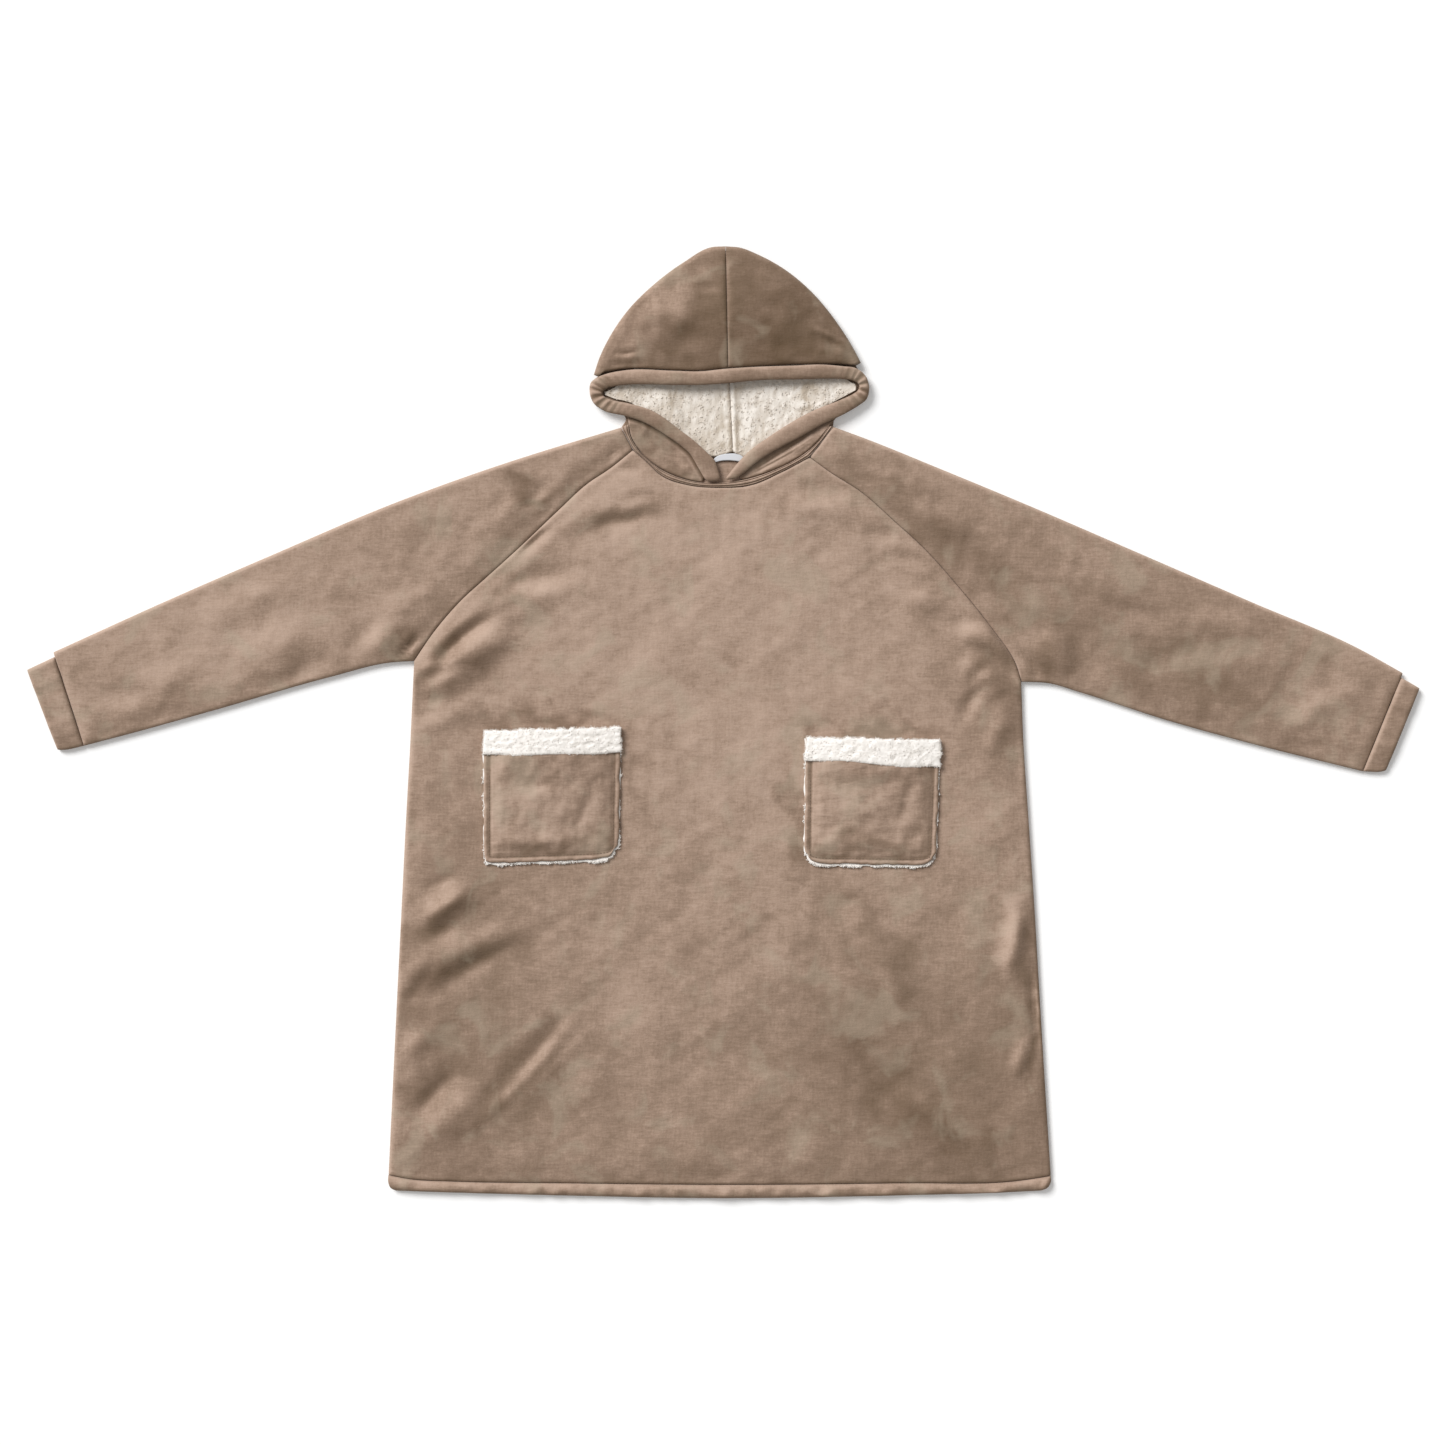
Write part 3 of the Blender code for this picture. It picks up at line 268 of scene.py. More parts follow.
FRONT_CREASES = tuple(Crease(*row) for row in (
    (-206, 219, -149, 253, -57, 266, 20, -2.2), (-190, 240, -130, 275, -60, 285, 18, 2.0),
    (-138, 277, -104, 282, -78, 286, 9, -1.6), (-127, 320, -112, 316, -100, 312, 6, -1.2),
    (-161, 245, -138, 254, -93, 257, 8, -1.4), (-272, 172, -239, 178, -172, 198, 14, -2.0),
    (-254, 209, -243, 226, -216, 243, 8, -2.0), (-290, 150, -230, 160, -150, 170, 14, 1.4),
    (-357, 71, -339, 101, -286, 134, 12, -3.2, LIPPED), (-384, 68, -370, 64, -355, 76, 6, 2.2),
    (-372, 34, -318, 84, -255, 122, 16, 4.5), (-382, 46, -345, 66, -313, 76, 8, -2.0),
    (-378, 32, -362, 28, -350, 26, 5, -1.6, TIGHT), (-378, 12, -366, 9, -357, 6, 5, -1.4, TIGHT),
    (-380, -10, -340, 10, -290, 24, 14, 1.8), (-300, 110, -260, 120, -210, 122, 12, -1.2),
    (296, 118, 332, 118, 360, 78, 16, 3.5), (314, 96, 341, 89, 352, 58, 7, -2.6),
    (352, 76, 358, 62, 372, 50, 6, -2.2), (281, 125, 306, 125, 330, 121, 10, -1.8),
    (296, 66, 326, 70, 346, 30, 16, 3.0), (306, 47, 318, 66, 337, 72, 7, -2.0),
    (297, -6, 303, 26, 334, 53, 8, -1.8), (330, -40, 345, -10, 362, 20, 12, 2.0),
    (280, 150, 255, 150, 220, 160, 14, 1.6), (62, 291, 110, 292, 164, 284, 16, -2.0),
    (80, 270, 120, 272, 165, 262, 14, 1.8), (172, 236, 196, 236, 220, 232, 9, -1.5),
    (210, 206, 232, 206, 250, 200, 9, -1.4), (-20, 268, 30, 266, 70, 262, 16, -1.0),
    (-378, -250, -345, -232, -312, -205, 18, 4.5), (-319, -212, -350, -230, -372, -250, 8, 2.0),
    (-377, -212, -350, -200, -330, -190, 9, -1.6), (-332, -252, -350, -262, -366, -272, 9, -1.8),
    (-393, -330, -353, -285, -250, -262, 20, 3.5), (-332, -312, -296, -290, -241, -271, 9, -2.0),
    (-353, -294, -378, -320, -393, -354, 9, -2.2), (-396, -362, -353, -312, -241, -288, 16, -2.0),
    (-290, -470, -241, -424, -196, -362, 14, -2.4), (-198, -367, -245, -440, -287, -470, 7, -1.6, TIGHT),
    (-303, -506, -240, -448, -172, -372, 16, 3.5), (-308, -518, -217, -431, -172, -373, 8, -2.0),
    (-332, -437, -360, -460, -387, -494, 9, -2.2), (-392, -500, -360, -462, -325, -430, 20, -1.8),
    (-384, -532, -330, -492, -290, -440, 20, 2.5), (-400, -420, -380, -396, -350, -380, 12, 1.6),
    (117, -203, 159, -258, 214, -354, 14, -2.6), (150, -226, 190, -282, 236, -350, 22, 3.5),
    (159, -391, 229, -469, 314, -543, 16, -2.6), (214, -454, 259, -488, 342, -552, 12, 4.5),
    (200, -470, 250, -520, 300, -560, 12, 1.8), (240, -380, 290, -430, 350, -480, 20, 1.8),
    (366, -233, 372, -270, 357, -309, 10, 3.4), (381, -397, 372, -420, 366, -446, 9, 3.0),
    (352, -330, 368, -280, 366, -215, 16, 2.0), (386, -309, 392, -355, 397, -417, 5, -2.4),
    (300, -230, 320, -300, 330, -380, 20, 1.4), (-60, -260, 10, -300, 40, -380, 40, 0.9),
    (-90, -430, 0, -400, 90, -440, 36, -0.9), (-60, 120, 0, 160, 90, 150, 40, 1.0),
    (-100, 30, -20, 60, 60, 20, 40, -0.9),
))

SLEEVE_CREASES = tuple(Crease(*row) for row in (
    (-406, 78, -394, 94, -381, 106, 7, -2.8, LIPPED), (-440, 80, -420, 110, -392, 136, 16, 2.6),
    (-470, 80, -450, 110, -430, 140, 12, -1.6), (-440, 128, -400, 150, -350, 170, 14, 1.6),
    (-138, 360, -137, 340, -138, 322, 4, -1.8, TIGHT), (-600, 60, -560, 100, -500, 120, 26, 1.8),
    (-560, 40, -530, 70, -480, 84, 12, -1.4), (-640, 120, -600, 150, -540, 172, 18, 1.4),
    (-720, 20, -690, 60, -650, 80, 16, 1.5), (-790, 30, -740, 40, -700, 30, 12, -1.3),
    (-300, 240, -260, 262, -220, 290, 14, 1.5), (-250, 262, -235, 280, -225, 300, 9, -1.6),
    (367, 91, 388, 80, 399, 54, 7, -2.8, LIPPED), (396, 112, 418, 92, 436, 60, 16, 3.2),
    (430, 110, 450, 90, 470, 50, 12, -1.6), (380, 150, 420, 140, 470, 120, 14, 1.8),
    (600, 60, 650, 80, 710, 60, 26, 1.8), (520, 60, 560, 90, 600, 90, 14, -1.5),
    (560, 120, 620, 130, 680, 110, 18, 1.4), (700, -20, 740, 20, 790, 40, 14, 1.6),
    (250, 262, 280, 250, 310, 230, 14, 1.6), (480, 150, 520, 140, 560, 120, 10, -1.4),
))

HOOD_CREASES = tuple(Crease(*row) for row in (
    (-137, 465, -122, 456, -107, 464, 5, -1.8, TIGHT), (-137, 458, -120, 450, -104, 455, 7, 1.6),
    (-150, 446, -120, 452, -90, 446, 9, -1.5), (-34, 545, -18, 541, 0, 543, 5, -1.2),
    (113, 492, 135, 483, 161, 469, 4, 1.6), (108, 486, 130, 474, 156, 462, 7, -1.6),
    (40, 560, 70, 540, 100, 500, 16, 1.6), (-90, 520, -60, 500, -30, 500, 16, 1.6),
    (-60, 470, -40, 490, -10, 470, 14, -1.5), (60, 470, 90, 480, 120, 460, 14, -1.5),
    (140, 458, 150, 470, 158, 450, 7, 1.4),
))

LINING_CREASES = tuple(Crease(*row) for row in (
    (-84, 415, -62, 392, -44, 368, 10, 2.0), (-66, 418, -50, 392, -34, 366, 8, -1.4),
    (-110, 416, -100, 406, -90, 398, 9, -1.0), (100, 414, 114, 408, 122, 398, 7, -1.6),
    (88, 402, 100, 392, 110, 398, 6, 1.4), (28, 415, 24, 380, 20, 350, 7, -1.0),
))

LOBE_CREASES = tuple(Crease(*row) for row in (
    (-98, 366, -70, 344, -44, 316, 7, -2.4), (-84, 340, -60, 324, -36, 312, 7, 1.0),
    (112, 362, 84, 342, 40, 316, 3.2, -1.7, TIGHT), (100, 346, 76, 331, 40, 312, 3.0, -1.5, TIGHT),
    (118, 358, 92, 341, 56, 322, 3.0, 1.1),
))


@dataclass(frozen=True)
class Patch:
    """A smudge of tone, where the nap lies another way or where shade or a highlight is painted: centre, half
    sizes, turn in degrees, and how light it is.
    """

    x: float
    y: float
    half_long: float
    half_wide: float
    turn: float
    tone: float

    def tones(self, plan: np.ndarray) -> np.ndarray:
        """The tone added at each plan point: a bell over an ellipse.

        Args:
            plan: points in plan, two columns last.

        Returns:
            Tones, positive where the cloth looks lighter.
        """
        angle = math.radians(self.turn)
        dx, dy = plan[..., 0] - self.x, plan[..., 1] - self.y
        along = (dx * math.cos(angle) + dy * math.sin(angle)) / self.half_long
        wide = (dy * math.cos(angle) - dx * math.sin(angle)) / self.half_wide
        return self.tone * np.exp(-((along**2 + wide**2) ** 1.3))


# Nap smudges of the body; the dark patches at the armpits, the thin dark ones along the creases' troughs, and
# those above and beside the pockets are painted shade, and the thin light ones on the ridges near the right
# side are painted highlights
BODY_PATCHES = tuple(Patch(*row) for row in (
    (0, 150, 330, 190, 0, 0.22), (-20, -60, 260, 170, 0, 0.12), (-330, -330, 110, 260, 0, -0.34),
    (300, -420, 170, 190, 0, -0.44), (0, -490, 430, 110, 0, -0.28), (160, -330, 60, 170, 25, -0.20),
    (225, -480, 150, 26, -40, -0.34), (-352, 78, 60, 20, 40, -0.7), (-318, 60, 70, 26, 30, -0.3),
    (-270, 170, 80, 26, 20, -0.34), (-120, 258, 90, 16, 16, -0.34), (346, 70, 26, 60, 20, -0.55),
    (320, 20, 30, 90, 30, -0.28), (250, 190, 90, 34, -45, -0.24), (110, 285, 70, 14, -4, -0.30),
    (-365, -245, 60, 18, 40, -0.42), (-300, -300, 90, 16, 22, -0.30), (-375, -330, 40, 70, 10, -0.34),
    (-255, -440, 100, 16, 50, -0.32), (-355, -460, 60, 22, 45, -0.34), (190, -270, 110, 20, -58, -0.28),
    (270, -500, 110, 22, -38, -0.30), (365, -260, 14, 70, 0, 0.34), (376, -430, 12, 60, 0, 0.30),
    (390, -360, 8, 90, 0, -0.5), (-200, -210, 120, 40, 10, -0.12), (-30, -280, 60, 90, 0, -0.12),
    (90, -120, 50, 140, 0, 0.10), (-90, -420, 40, 110, 10, 0.12), (30, 60, 80, 30, 12, -0.14),
    (0, 240, 120, 26, 0, 0.14), (-212, 5, 96, 9, 1, -0.75), (188, -9, 94, 9, -1, -0.75),
    (92, -110, 10, 66, 0, -0.55), (94, -160, 14, 24, 0, -0.40), (-114, -60, 12, 60, 0, -0.35),
    (0, -586, 440, 12, 0, -0.25),
))

# Nap smudges of the sleeves; the left sleeve is painted lighter and the right one darker, as the lit and the
# shaded side, and the dark spots at the armpits and in the troughs near the raglan seams are painted shade
SLEEVE_PATCHES = tuple(Patch(*row) for row in (
    (-600, 100, 220, 60, 20, 0.26), (-243, 289, 20, 15, 0, -0.7), (-218, 296, 26, 12, 30, -0.35),
    (-300, 250, 90, 40, 30, -0.14), (-460, 170, 90, 26, 20, -0.20), (-700, 20, 90, 22, 20, -0.22),
    (-394, 92, 22, 26, 0, -0.5), (-560, 60, 80, 16, 18, -0.18), (-160, 325, 18, 30, 0, -0.22),
    (520, 120, 330, 120, -24, -0.34), (250, 250, 70, 30, -40, -0.42), (330, 190, 90, 24, -42, -0.36),
    (402, 78, 22, 36, 0, -0.55), (560, 60, 80, 40, -20, -0.26), (640, 30, 60, 18, -40, -0.28),
    (460, 200, 80, 20, -22, 0.22), (740, 40, 70, 30, -20, 0.16), (180, 310, 50, 16, -20, -0.34),
    (-850, 15, 24, 70, 20, -0.35), (845, -8, 24, 70, -20, -0.20),
))

# The hood is darker all over, its right half darker still as painted shade on the side away from the light;
# the thin dark patches along its troughs are painted shade and a thin light one on a ridge at the right a
# painted highlight
HOOD_PATCHES = tuple(Patch(*row) for row in (
    (-80, 520, 180, 170, 0, -0.80), (100, 500, 110, 170, 0, -0.90), (-90, 500, 60, 26, 60, 0.26),
    (-50, 545, 50, 20, 40, 0.26), (-25, 520, 16, 50, 0, -0.20), (-70, 455, 80, 12, 0, -0.26),
    (-40, 480, 30, 20, 20, -0.20), (35, 500, 22, 40, 0, 0.22), (70, 570, 60, 20, -30, 0.20),
    (60, 480, 40, 16, 0, -0.40), (120, 460, 50, 12, 0, -0.35), (140, 475, 30, 8, -30, 0.40),
    (-140, 440, 26, 16, 30, -0.30), (0, 585, 60, 16, 0, -0.20),
))

# Patches of painted shade at the lining's left and in its deep hollow at the right; it is also darker along
# its lower edge and its centre seam, and lighter on the right
LINING_PATCHES = tuple(Patch(*row) for row in (
    (-66, 390, 16, 40, -35, -0.25), (-140, 408, 26, 12, 0, -0.25), (113, 410, 13, 7, 15, -1.0),
    (108, 398, 10, 6, 60, -0.5), (0, 345, 60, 18, 0, -0.30), (12, 390, 5, 60, 0, -0.35),
    (60, 400, 50, 30, 0, 0.25),
))

CASING_PATCHES = tuple(Patch(*row) for row in (
    (0, 400, 220, 90, 0, -0.34), (-155, 410, 22, 26, 0, -0.35), (175, 415, 20, 26, 0, -0.30),
    (-60, 350, 60, 40, -40, -0.26), (60, 350, 60, 30, 30, 0.10), (30, 432, 60, 10, 0, -0.20),
    (-110, 432, 30, 10, 0, 0.20), (0, 310, 24, 18, 0, 0.10),
))

# Nap tones of the pockets; the dark bands just under each trim and along each pocket's bottom are painted
# shade
POCKET_PATCHES = tuple(Patch(*row) for row in (
    (-213, -100, 80, 60, 0, 0.22), (186, -110, 80, 60, 0, 0.06), (-213, -54, 80, 12, 0, -0.26),
    (186, -68, 80, 12, 0, -0.30), (-205, -154, 76, 11, 0, -0.60), (188, -155, 74, 11, -2, -0.60),
    (-140, -120, 12, 50, 0, -0.20), (-250, -150, 40, 16, 20, -0.14), (230, -120, 16, 50, 20, -0.16),
    (150, -90, 26, 20, 40, 0.14),
))


def eased(value: np.ndarray) -> np.ndarray:
    """A smooth step from 0 to 1."""
    value = np.clip(value, 0.0, 1.0)
    return value * value * (3.0 - 2.0 * value)


def through(points: tuple | np.ndarray, fractions: tuple | np.ndarray) -> np.ndarray:
    """Points on a smooth curve (cubic pieces, slopes from the neighbours) at fractions of its length.

    Args:
        points: the given points, one a row.
        fractions: places along the curve, from 0 to 1.

    Returns:
        One point a row.
    """
    points = np.asarray(points, float)
    knots = np.concatenate(([0.0], np.cumsum(np.linalg.norm(np.diff(points[:, :2], axis=0), axis=1))))
    knots /= knots[-1]
    slopes = np.gradient(points, knots, axis=0)
    fractions = np.clip(np.asarray(fractions, float), 0.0, 1.0)
    start = np.clip(np.searchsorted(knots, fractions, side="right") - 1, 0, len(knots) - 2)
    span = (knots[start + 1] - knots[start])[:, None]
    t = (fractions - knots[start])[:, None] / span
    return (
        (2 * t**3 - 3 * t**2 + 1) * points[start]
        + (t**3 - 2 * t**2 + t) * span * slopes[start]
        + (3 * t**2 - 2 * t**3) * points[start + 1]
        + (t**3 - t**2) * span * slopes[start + 1]
    )


def unit(vectors: np.ndarray) -> np.ndarray:
    """Vectors, one a row, brought to length 1."""
    return vectors / np.linalg.norm(vectors, axis=-1, keepdims=True)


def length_of(line: np.ndarray) -> np.ndarray:
    """Running length along a line of points, starting at 0."""
    return np.concatenate(([0.0], np.cumsum(np.linalg.norm(np.diff(line, axis=0), axis=1))))


def at_lengths(line: np.ndarray, lengths: np.ndarray) -> np.ndarray:
    """The places at running lengths along a line of points."""
    run = length_of(line)
    return np.stack([np.interp(lengths, run, column) for column in line.T], axis=-1)


def spaced(widths: float | np.ndarray, count: int, both: bool = True) -> np.ndarray:
    """Fractions across each width: close together at the first edge (and the last), even between.

    Args:
        widths: one width or many, in millimetres.
        count: how many even fractions there are.
        both: close together at the far edge too.

    Returns:
        A row of fractions for each width.
    """
    fine = EDGE_STEPS / np.atleast_1d(np.asarray(widths, float))[:, None]
    end = 1.0 - fine[:, -1] if both else np.ones(len(fine))
    parts = [fine[:, :-1], np.linspace(fine[:, -1], end, count, axis=1)]
    if both:
        parts.append(1.0 - fine[:, -2::-1])
    return np.concatenate(parts, axis=1)


def inset(plan: np.ndarray) -> tuple:
    """Each grid point's distance from the first and last column and from the first and last row."""
    along = np.cumsum(np.linalg.norm(np.diff(plan, axis=1, prepend=plan[:, :1]), axis=2), axis=1)
    up = np.cumsum(np.linalg.norm(np.diff(plan, axis=0, prepend=plan[:1]), axis=2), axis=0)
    return along, along[:, -1:] - along, up, up[-1:] - up


def nearest_edge(plan: np.ndarray, edges: tuple) -> np.ndarray:
    """Each grid point's distance from the nearest of some edges, numbered as inset returns them."""
    distances = inset(plan)
    return np.minimum.reduce([distances[edge] for edge in edges])


def bell(distance: np.ndarray, width: float) -> np.ndarray:
    """A bell curve: 1 at no distance, 0.37 at its width."""
    return np.exp(-((distance / width) ** 2))


def rolled(distance: np.ndarray, radius: float, drop: float) -> np.ndarray:
    """How far a face has rolled down at a distance from its edge: a quarter of an ellipse."""
    t = np.clip(distance / radius, 0.0, 1.0)
    return drop * (1.0 - np.sqrt(np.maximum(1.0 - (1.0 - t) ** 2, 0.0)))


def waves(plan: np.ndarray, seed: int, longest: float, shortest: float, count: int = 24) -> np.ndarray:
    """Smooth unevenness: a sum of sine waves with random directions, lengths and phases.

    Args:
        plan: points in plan.
        seed: picks the waves.
        longest: longest wave in millimetres.
        shortest: shortest wave in millimetres.
        count: how many waves.

    Returns:
        Values of about -1 to 1.
    """
    draw = np.random.default_rng(seed)
    angle = draw.uniform(0, 2 * np.pi, count)
    wave = np.exp(draw.uniform(np.log(shortest), np.log(longest), count))
    phase = draw.uniform(0, 2 * np.pi, count)
    total = np.zeros(plan.shape[:-1])
    for a, w, p in zip(angle, wave, phase):
        total += np.sin((plan[..., 0] * math.cos(a) + plan[..., 1] * math.sin(a)) * 2 * np.pi / w + p)
    return total / math.sqrt(count)


def creased(plan: np.ndarray, creases: tuple) -> np.ndarray:
    """The height that a table of creases adds at each plan point."""
    return FOLD_GAIN * sum((crease.heights(plan) for crease in creases), np.zeros(plan.shape[:-1]))


def smudged(plan: np.ndarray, patches: tuple, seed: int) -> np.ndarray:
    """The tone from a table of patches, nap smudges and painted shade and highlights, their outlines broken up
    by shifting the plan with waves.
    """
    shift = np.stack((waves(plan, seed, 120, 25), waves(plan, seed + 1, 120, 25)), axis=-1)
    moved = plan + 13.0 * shift
    return sum((patch.tones(moved) for patch in patches), np.zeros(plan.shape[:-1]))


def with_heights(plan: np.ndarray, heights: float | np.ndarray) -> np.ndarray:
    """Plan points with their heights, as one grid."""
    return np.concatenate((plan, np.broadcast_to(heights, plan.shape[:-1])[..., None]), axis=-1)


def grid_quads(rows: int, columns: int, first: int = 0) -> np.ndarray:
    """The four-sided faces of a grid whose points are numbered row by row."""
    corner = first + np.arange(rows - 1)[:, None] * columns + np.arange(columns - 1)
    return np.stack((corner, corner + 1, corner + columns + 1, corner + columns), axis=-1).reshape(-1, 4)


def tube_quads(rings: int, sides: int) -> np.ndarray:
    """The faces of a closed tube whose points are numbered ring by ring: its wall, then its two ends.

    Args:
        rings: how many rings of points.
        sides: how many points a ring has, an even number.

    Returns:
        Four corner numbers a face.
    """
    step = np.arange(rings - 1)[:, None] * sides
    side = np.arange(sides)
    after = (side + 1) % sides
    wall = np.stack((step + side, step + after, step + sides + after, step + sides + side), axis=-1)
    ladder = np.arange(sides // 2 - 1)
    cap = np.stack((ladder, ladder + 1, sides - 2 - ladder, sides - 1 - ladder), axis=-1)
    return np.concatenate((wall.reshape(-1, 4), cap[:, ::-1], cap + (rings - 1) * sides))


def signed_volume(points: np.ndarray, quads: np.ndarray) -> float:
    """Six times the volume inside a closed mesh of quads: negative where it is inside out."""
    a, b, c, d = (points[quads[:, i]] for i in range(4))
    return float((np.einsum("ij,ij->i", a, np.cross(b, c)) + np.einsum("ij,ij->i", a, np.cross(c, d))).sum())


@dataclass
class Piece:
    """A mesh piece of the garment: its name, the CAD nodes it stands for and its material slot."""

    name: str
    nodes: tuple
    slot: str

    def make(self, points: np.ndarray, quads: np.ndarray, finish: "Finish", patches: tuple = (),
             seed: int = 1, shade: float | np.ndarray = 0.0) -> bpy.types.Object:
        """Makes the mesh object, gives it its finish and its tones (nap smudges, painted shade, and painted
        light and shade by slope), and lets it ride on the root body.

        Args:
            points: points in millimetres.
            quads: four corner numbers a face.
            finish: the finish that it wears.
            patches: smudges of the nap and patches of painted shade.
            seed: picks how the smudges break up.
            shade: painted shade and highlight added to each point.

        Returns:
            The Blender object.
        """
        if signed_volume(points, quads) < 0:
            quads = quads[:, ::-1]
        mesh = bpy.data.meshes.new(self.name)
        mesh.vertices.add(len(points))
        mesh.vertices.foreach_set("co", (points * METRE).astype(np.float32).ravel())
        mesh.loops.add(quads.size)
        mesh.loops.foreach_set("vertex_index", quads.astype(np.int32).ravel())
        mesh.polygons.add(len(quads))
        mesh.polygons.foreach_set("loop_start", np.arange(0, quads.size, 4, dtype=np.int32))
        mesh.polygons.foreach_set("use_smooth", np.ones(len(quads), bool))
        mesh.update(calc_edges=True)
        mesh.validate()
        normals = np.empty(points.size, np.float32)
        mesh.vertex_normals.foreach_get("vector", normals)
        # Painted light and shade on every slope: a slope facing the light from the upper left is painted
        # lighter, one facing away darker
        slope = normals.reshape(-1, 3)[:, :2] @ PAINTED_LIGHT_FROM
        tones = smudged(points[:, :2], patches, seed) + shade
        tones += SLOPE_PAINTED_LIGHT * np.clip(slope, -SLOPE_MOST, SLOPE_MOST)
        # The attribute named nap carries the nap smudges together with all the painted light and shade
        tone = mesh.attributes.new("nap", "FLOAT", "POINT")
        tone.data.foreach_set("value", tones.astype(np.float32))
        mesh.materials.append(finish.material())
        piece = bpy.data.objects.new(self.name, mesh)
        bpy.context.scene.collection.objects.link(piece)
        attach(piece, ROOT)
        if self.nodes:
            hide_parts(*self.nodes)
        LOG.info("%s: %d faces", self.name, len(quads))
        return piece

    def shell(self, outer: np.ndarray, inner: np.ndarray, finish: "Finish", patches: tuple = (),
              seed: int = 1, shade: np.ndarray | None = None) -> bpy.types.Object:
        """A closed wall of cloth between two grids of one size, joined along all four borders.

        Args:
            outer: grid of points on the outside.
            inner: grid of points on the inside.
            finish: the finish that it wears.
            patches: smudges of the nap and patches of painted shade.
            seed: picks how the smudges break up.
            shade: grid of painted shade and highlight added to the outside.

        Returns:
            The Blender object.
        """
        rows, columns = outer.shape[:2]
        count = rows * columns
        number = np.arange(count).reshape(rows, columns)
        border = np.concatenate((number[0, :-1], number[:-1, -1], number[-1, :0:-1], number[:0:-1, 0]))
        following = np.roll(border, -1)
        rim = np.stack((border, following, following + count, border + count), axis=-1)[:, ::-1]
        quads = np.concatenate((grid_quads(rows, columns), grid_quads(rows, columns, count)[:, ::-1], rim))
        points = np.concatenate((outer.reshape(-1, 3), inner.reshape(-1, 3)))
        shade = np.zeros(count) if shade is None else np.broadcast_to(shade, (rows, columns)).ravel()
        return self.make(points, quads, finish, patches, seed, np.concatenate((shade, np.zeros(count))))

    def tubes(self, paths: np.ndarray, radii: np.ndarray, finish: "Finish") -> bpy.types.Object:
        """Many short closed tubes as one mesh.

        Each tube's ring k is a circle of radius radii[k] about paths[k], square to the path, and its ends
        are closed.

        Args:
            paths: tubes, rings along each, three coordinates.
            radii: tubes, rings along each.
            finish: the finish that they wear.

        Returns:
            The Blender object.
        """
        count, rings = radii.shape
        run = np.gradient(paths, axis=1)
        run /= np.linalg.norm(run, axis=2, keepdims=True) + 1e-12
        chord = paths[:, -1] - paths[:, 0]
        aside = np.cross(chord, paths[:, rings // 2] - paths[:, 0])
        weak = np.linalg.norm(aside, axis=1) < 1e-6
        aside[weak] = np.cross(chord[weak], (0.31, 0.17, 0.93))
        aside /= np.linalg.norm(aside, axis=1, keepdims=True)
        aside = np.repeat(aside[:, None], rings, axis=1)
        up = np.cross(run, aside)
        turn = np.arange(TUBE_SIDES) * 2 * np.pi / TUBE_SIDES
        ring = np.cos(turn)[:, None] * aside[:, :, None] + np.sin(turn)[:, None] * up[:, :, None]
        points = (paths[:, :, None] + radii[:, :, None, None] * ring).reshape(-1, 3)
        numbers = np.arange(count)[:, None, None] * rings * TUBE_SIDES
        quads = (tube_quads(rings, TUBE_SIDES) + numbers).reshape(-1, 4)
        return self.make(points, quads, finish)


Socket = bpy.types.NodeSocket
Value = float | Socket


class Graph:
    """A small helper that adds nodes to a material's or a group's tree and joins them."""

    def __init__(self, tree: bpy.types.NodeTree) -> None:
        """Keeps the tree that the nodes go into."""
        self.tree = tree

    def add(self, kind: str, inputs: dict | None = None, **settings: object) -> bpy.types.Node:
        """Adds a node.

        Args:
            kind: the node's type name.
            inputs: input name or number to a value or an output socket.
            settings: the node's own settings.

        Returns:
            The node.
        """
        node = self.tree.nodes.new(kind)
        for key, value in settings.items():
            setattr(node, key, value)
        self.fill(node, inputs or {})
        return node

    def fill(self, node: bpy.types.Node, inputs: dict) -> None:
        """Sets a node's inputs to values, or joins them to output sockets."""
        for key, value in inputs.items():
            if isinstance(value, bpy.types.NodeSocket):
                self.tree.links.new(value, node.inputs[key])
            else:
                node.inputs[key].default_value = value

    def math(self, operation: str, first: Value, second: Value = 0.0, third: Value = 0.0) -> Socket:
        """A math node's output for two or three values or sockets."""
        return self.add("ShaderNodeMath", {0: first, 1: second, 2: third}, operation=operation).outputs[0]

    def mixed(self, share: Socket, first: Value | tuple, second: tuple) -> Socket:
        """A colour between a first one and a second one, by a share of the second."""
        colours = {0: share, 6: first, 7: (*second, 1.0)}
        return self.add("ShaderNodeMix", colours, data_type="RGBA").outputs[2]

    def noise(self, place: Socket, scale: float, detail: float, roughness: float = 0.5,
              distortion: float = 0.0) -> Socket:
        """A noise texture's value, about 0.5 on average."""
        values = {"Vector": place, "Scale": scale, "Detail": detail, "Roughness": roughness,
                  "Distortion": distortion}
        return self.add("ShaderNodeTexNoise", values).outputs[0]

    def stretched(self, place: Socket, scale: tuple, turn: float = 0.0) -> Socket:
        """Coordinates scaled by axis and turned about Z."""
        values = {"Vector": place, "Scale": scale, "Rotation": (0.0, 0.0, math.radians(turn))}
        return self.add("ShaderNodeMapping", values).outputs[0]


# Layers of the nap, broad to fine: stretch by axis, turn in degrees, then the noise's scale, detail, roughness
# and distortion, and its shares of the tone and of the height
NAP_LAYERS = (
    ((1.0, 1.3, 1.0), 8, 7.0, 3.0, 0.5, 0.4, 0.35, 0.0),
    ((1.0, 1.4, 1.0), 12, 22.0, 5.0, 0.6, 0.7, 0.70, 0.0),
    ((0.6, 1.3, 1.0), -8, 60.0, 4.0, 0.62, 0.8, 0.65, 0.7),
    ((0.3, 1.7, 1.0), 3, 260.0, 3.0, 0.6, 0.0, 0.80, 0.35),
    ((1.7, 0.35, 1.0), -4, 190.0, 3.0, 0.6, 0.0, 0.60, 0.2),
    ((1.0, 1.0, 1.0), 0, 330.0, 3.0, 0.6, 0.4, 0.55, 0.45),
    ((1.0, 1.0, 1.0), 0, 900.0, 2.0, 0.6, 0.0, 0.40, 0.25),
)


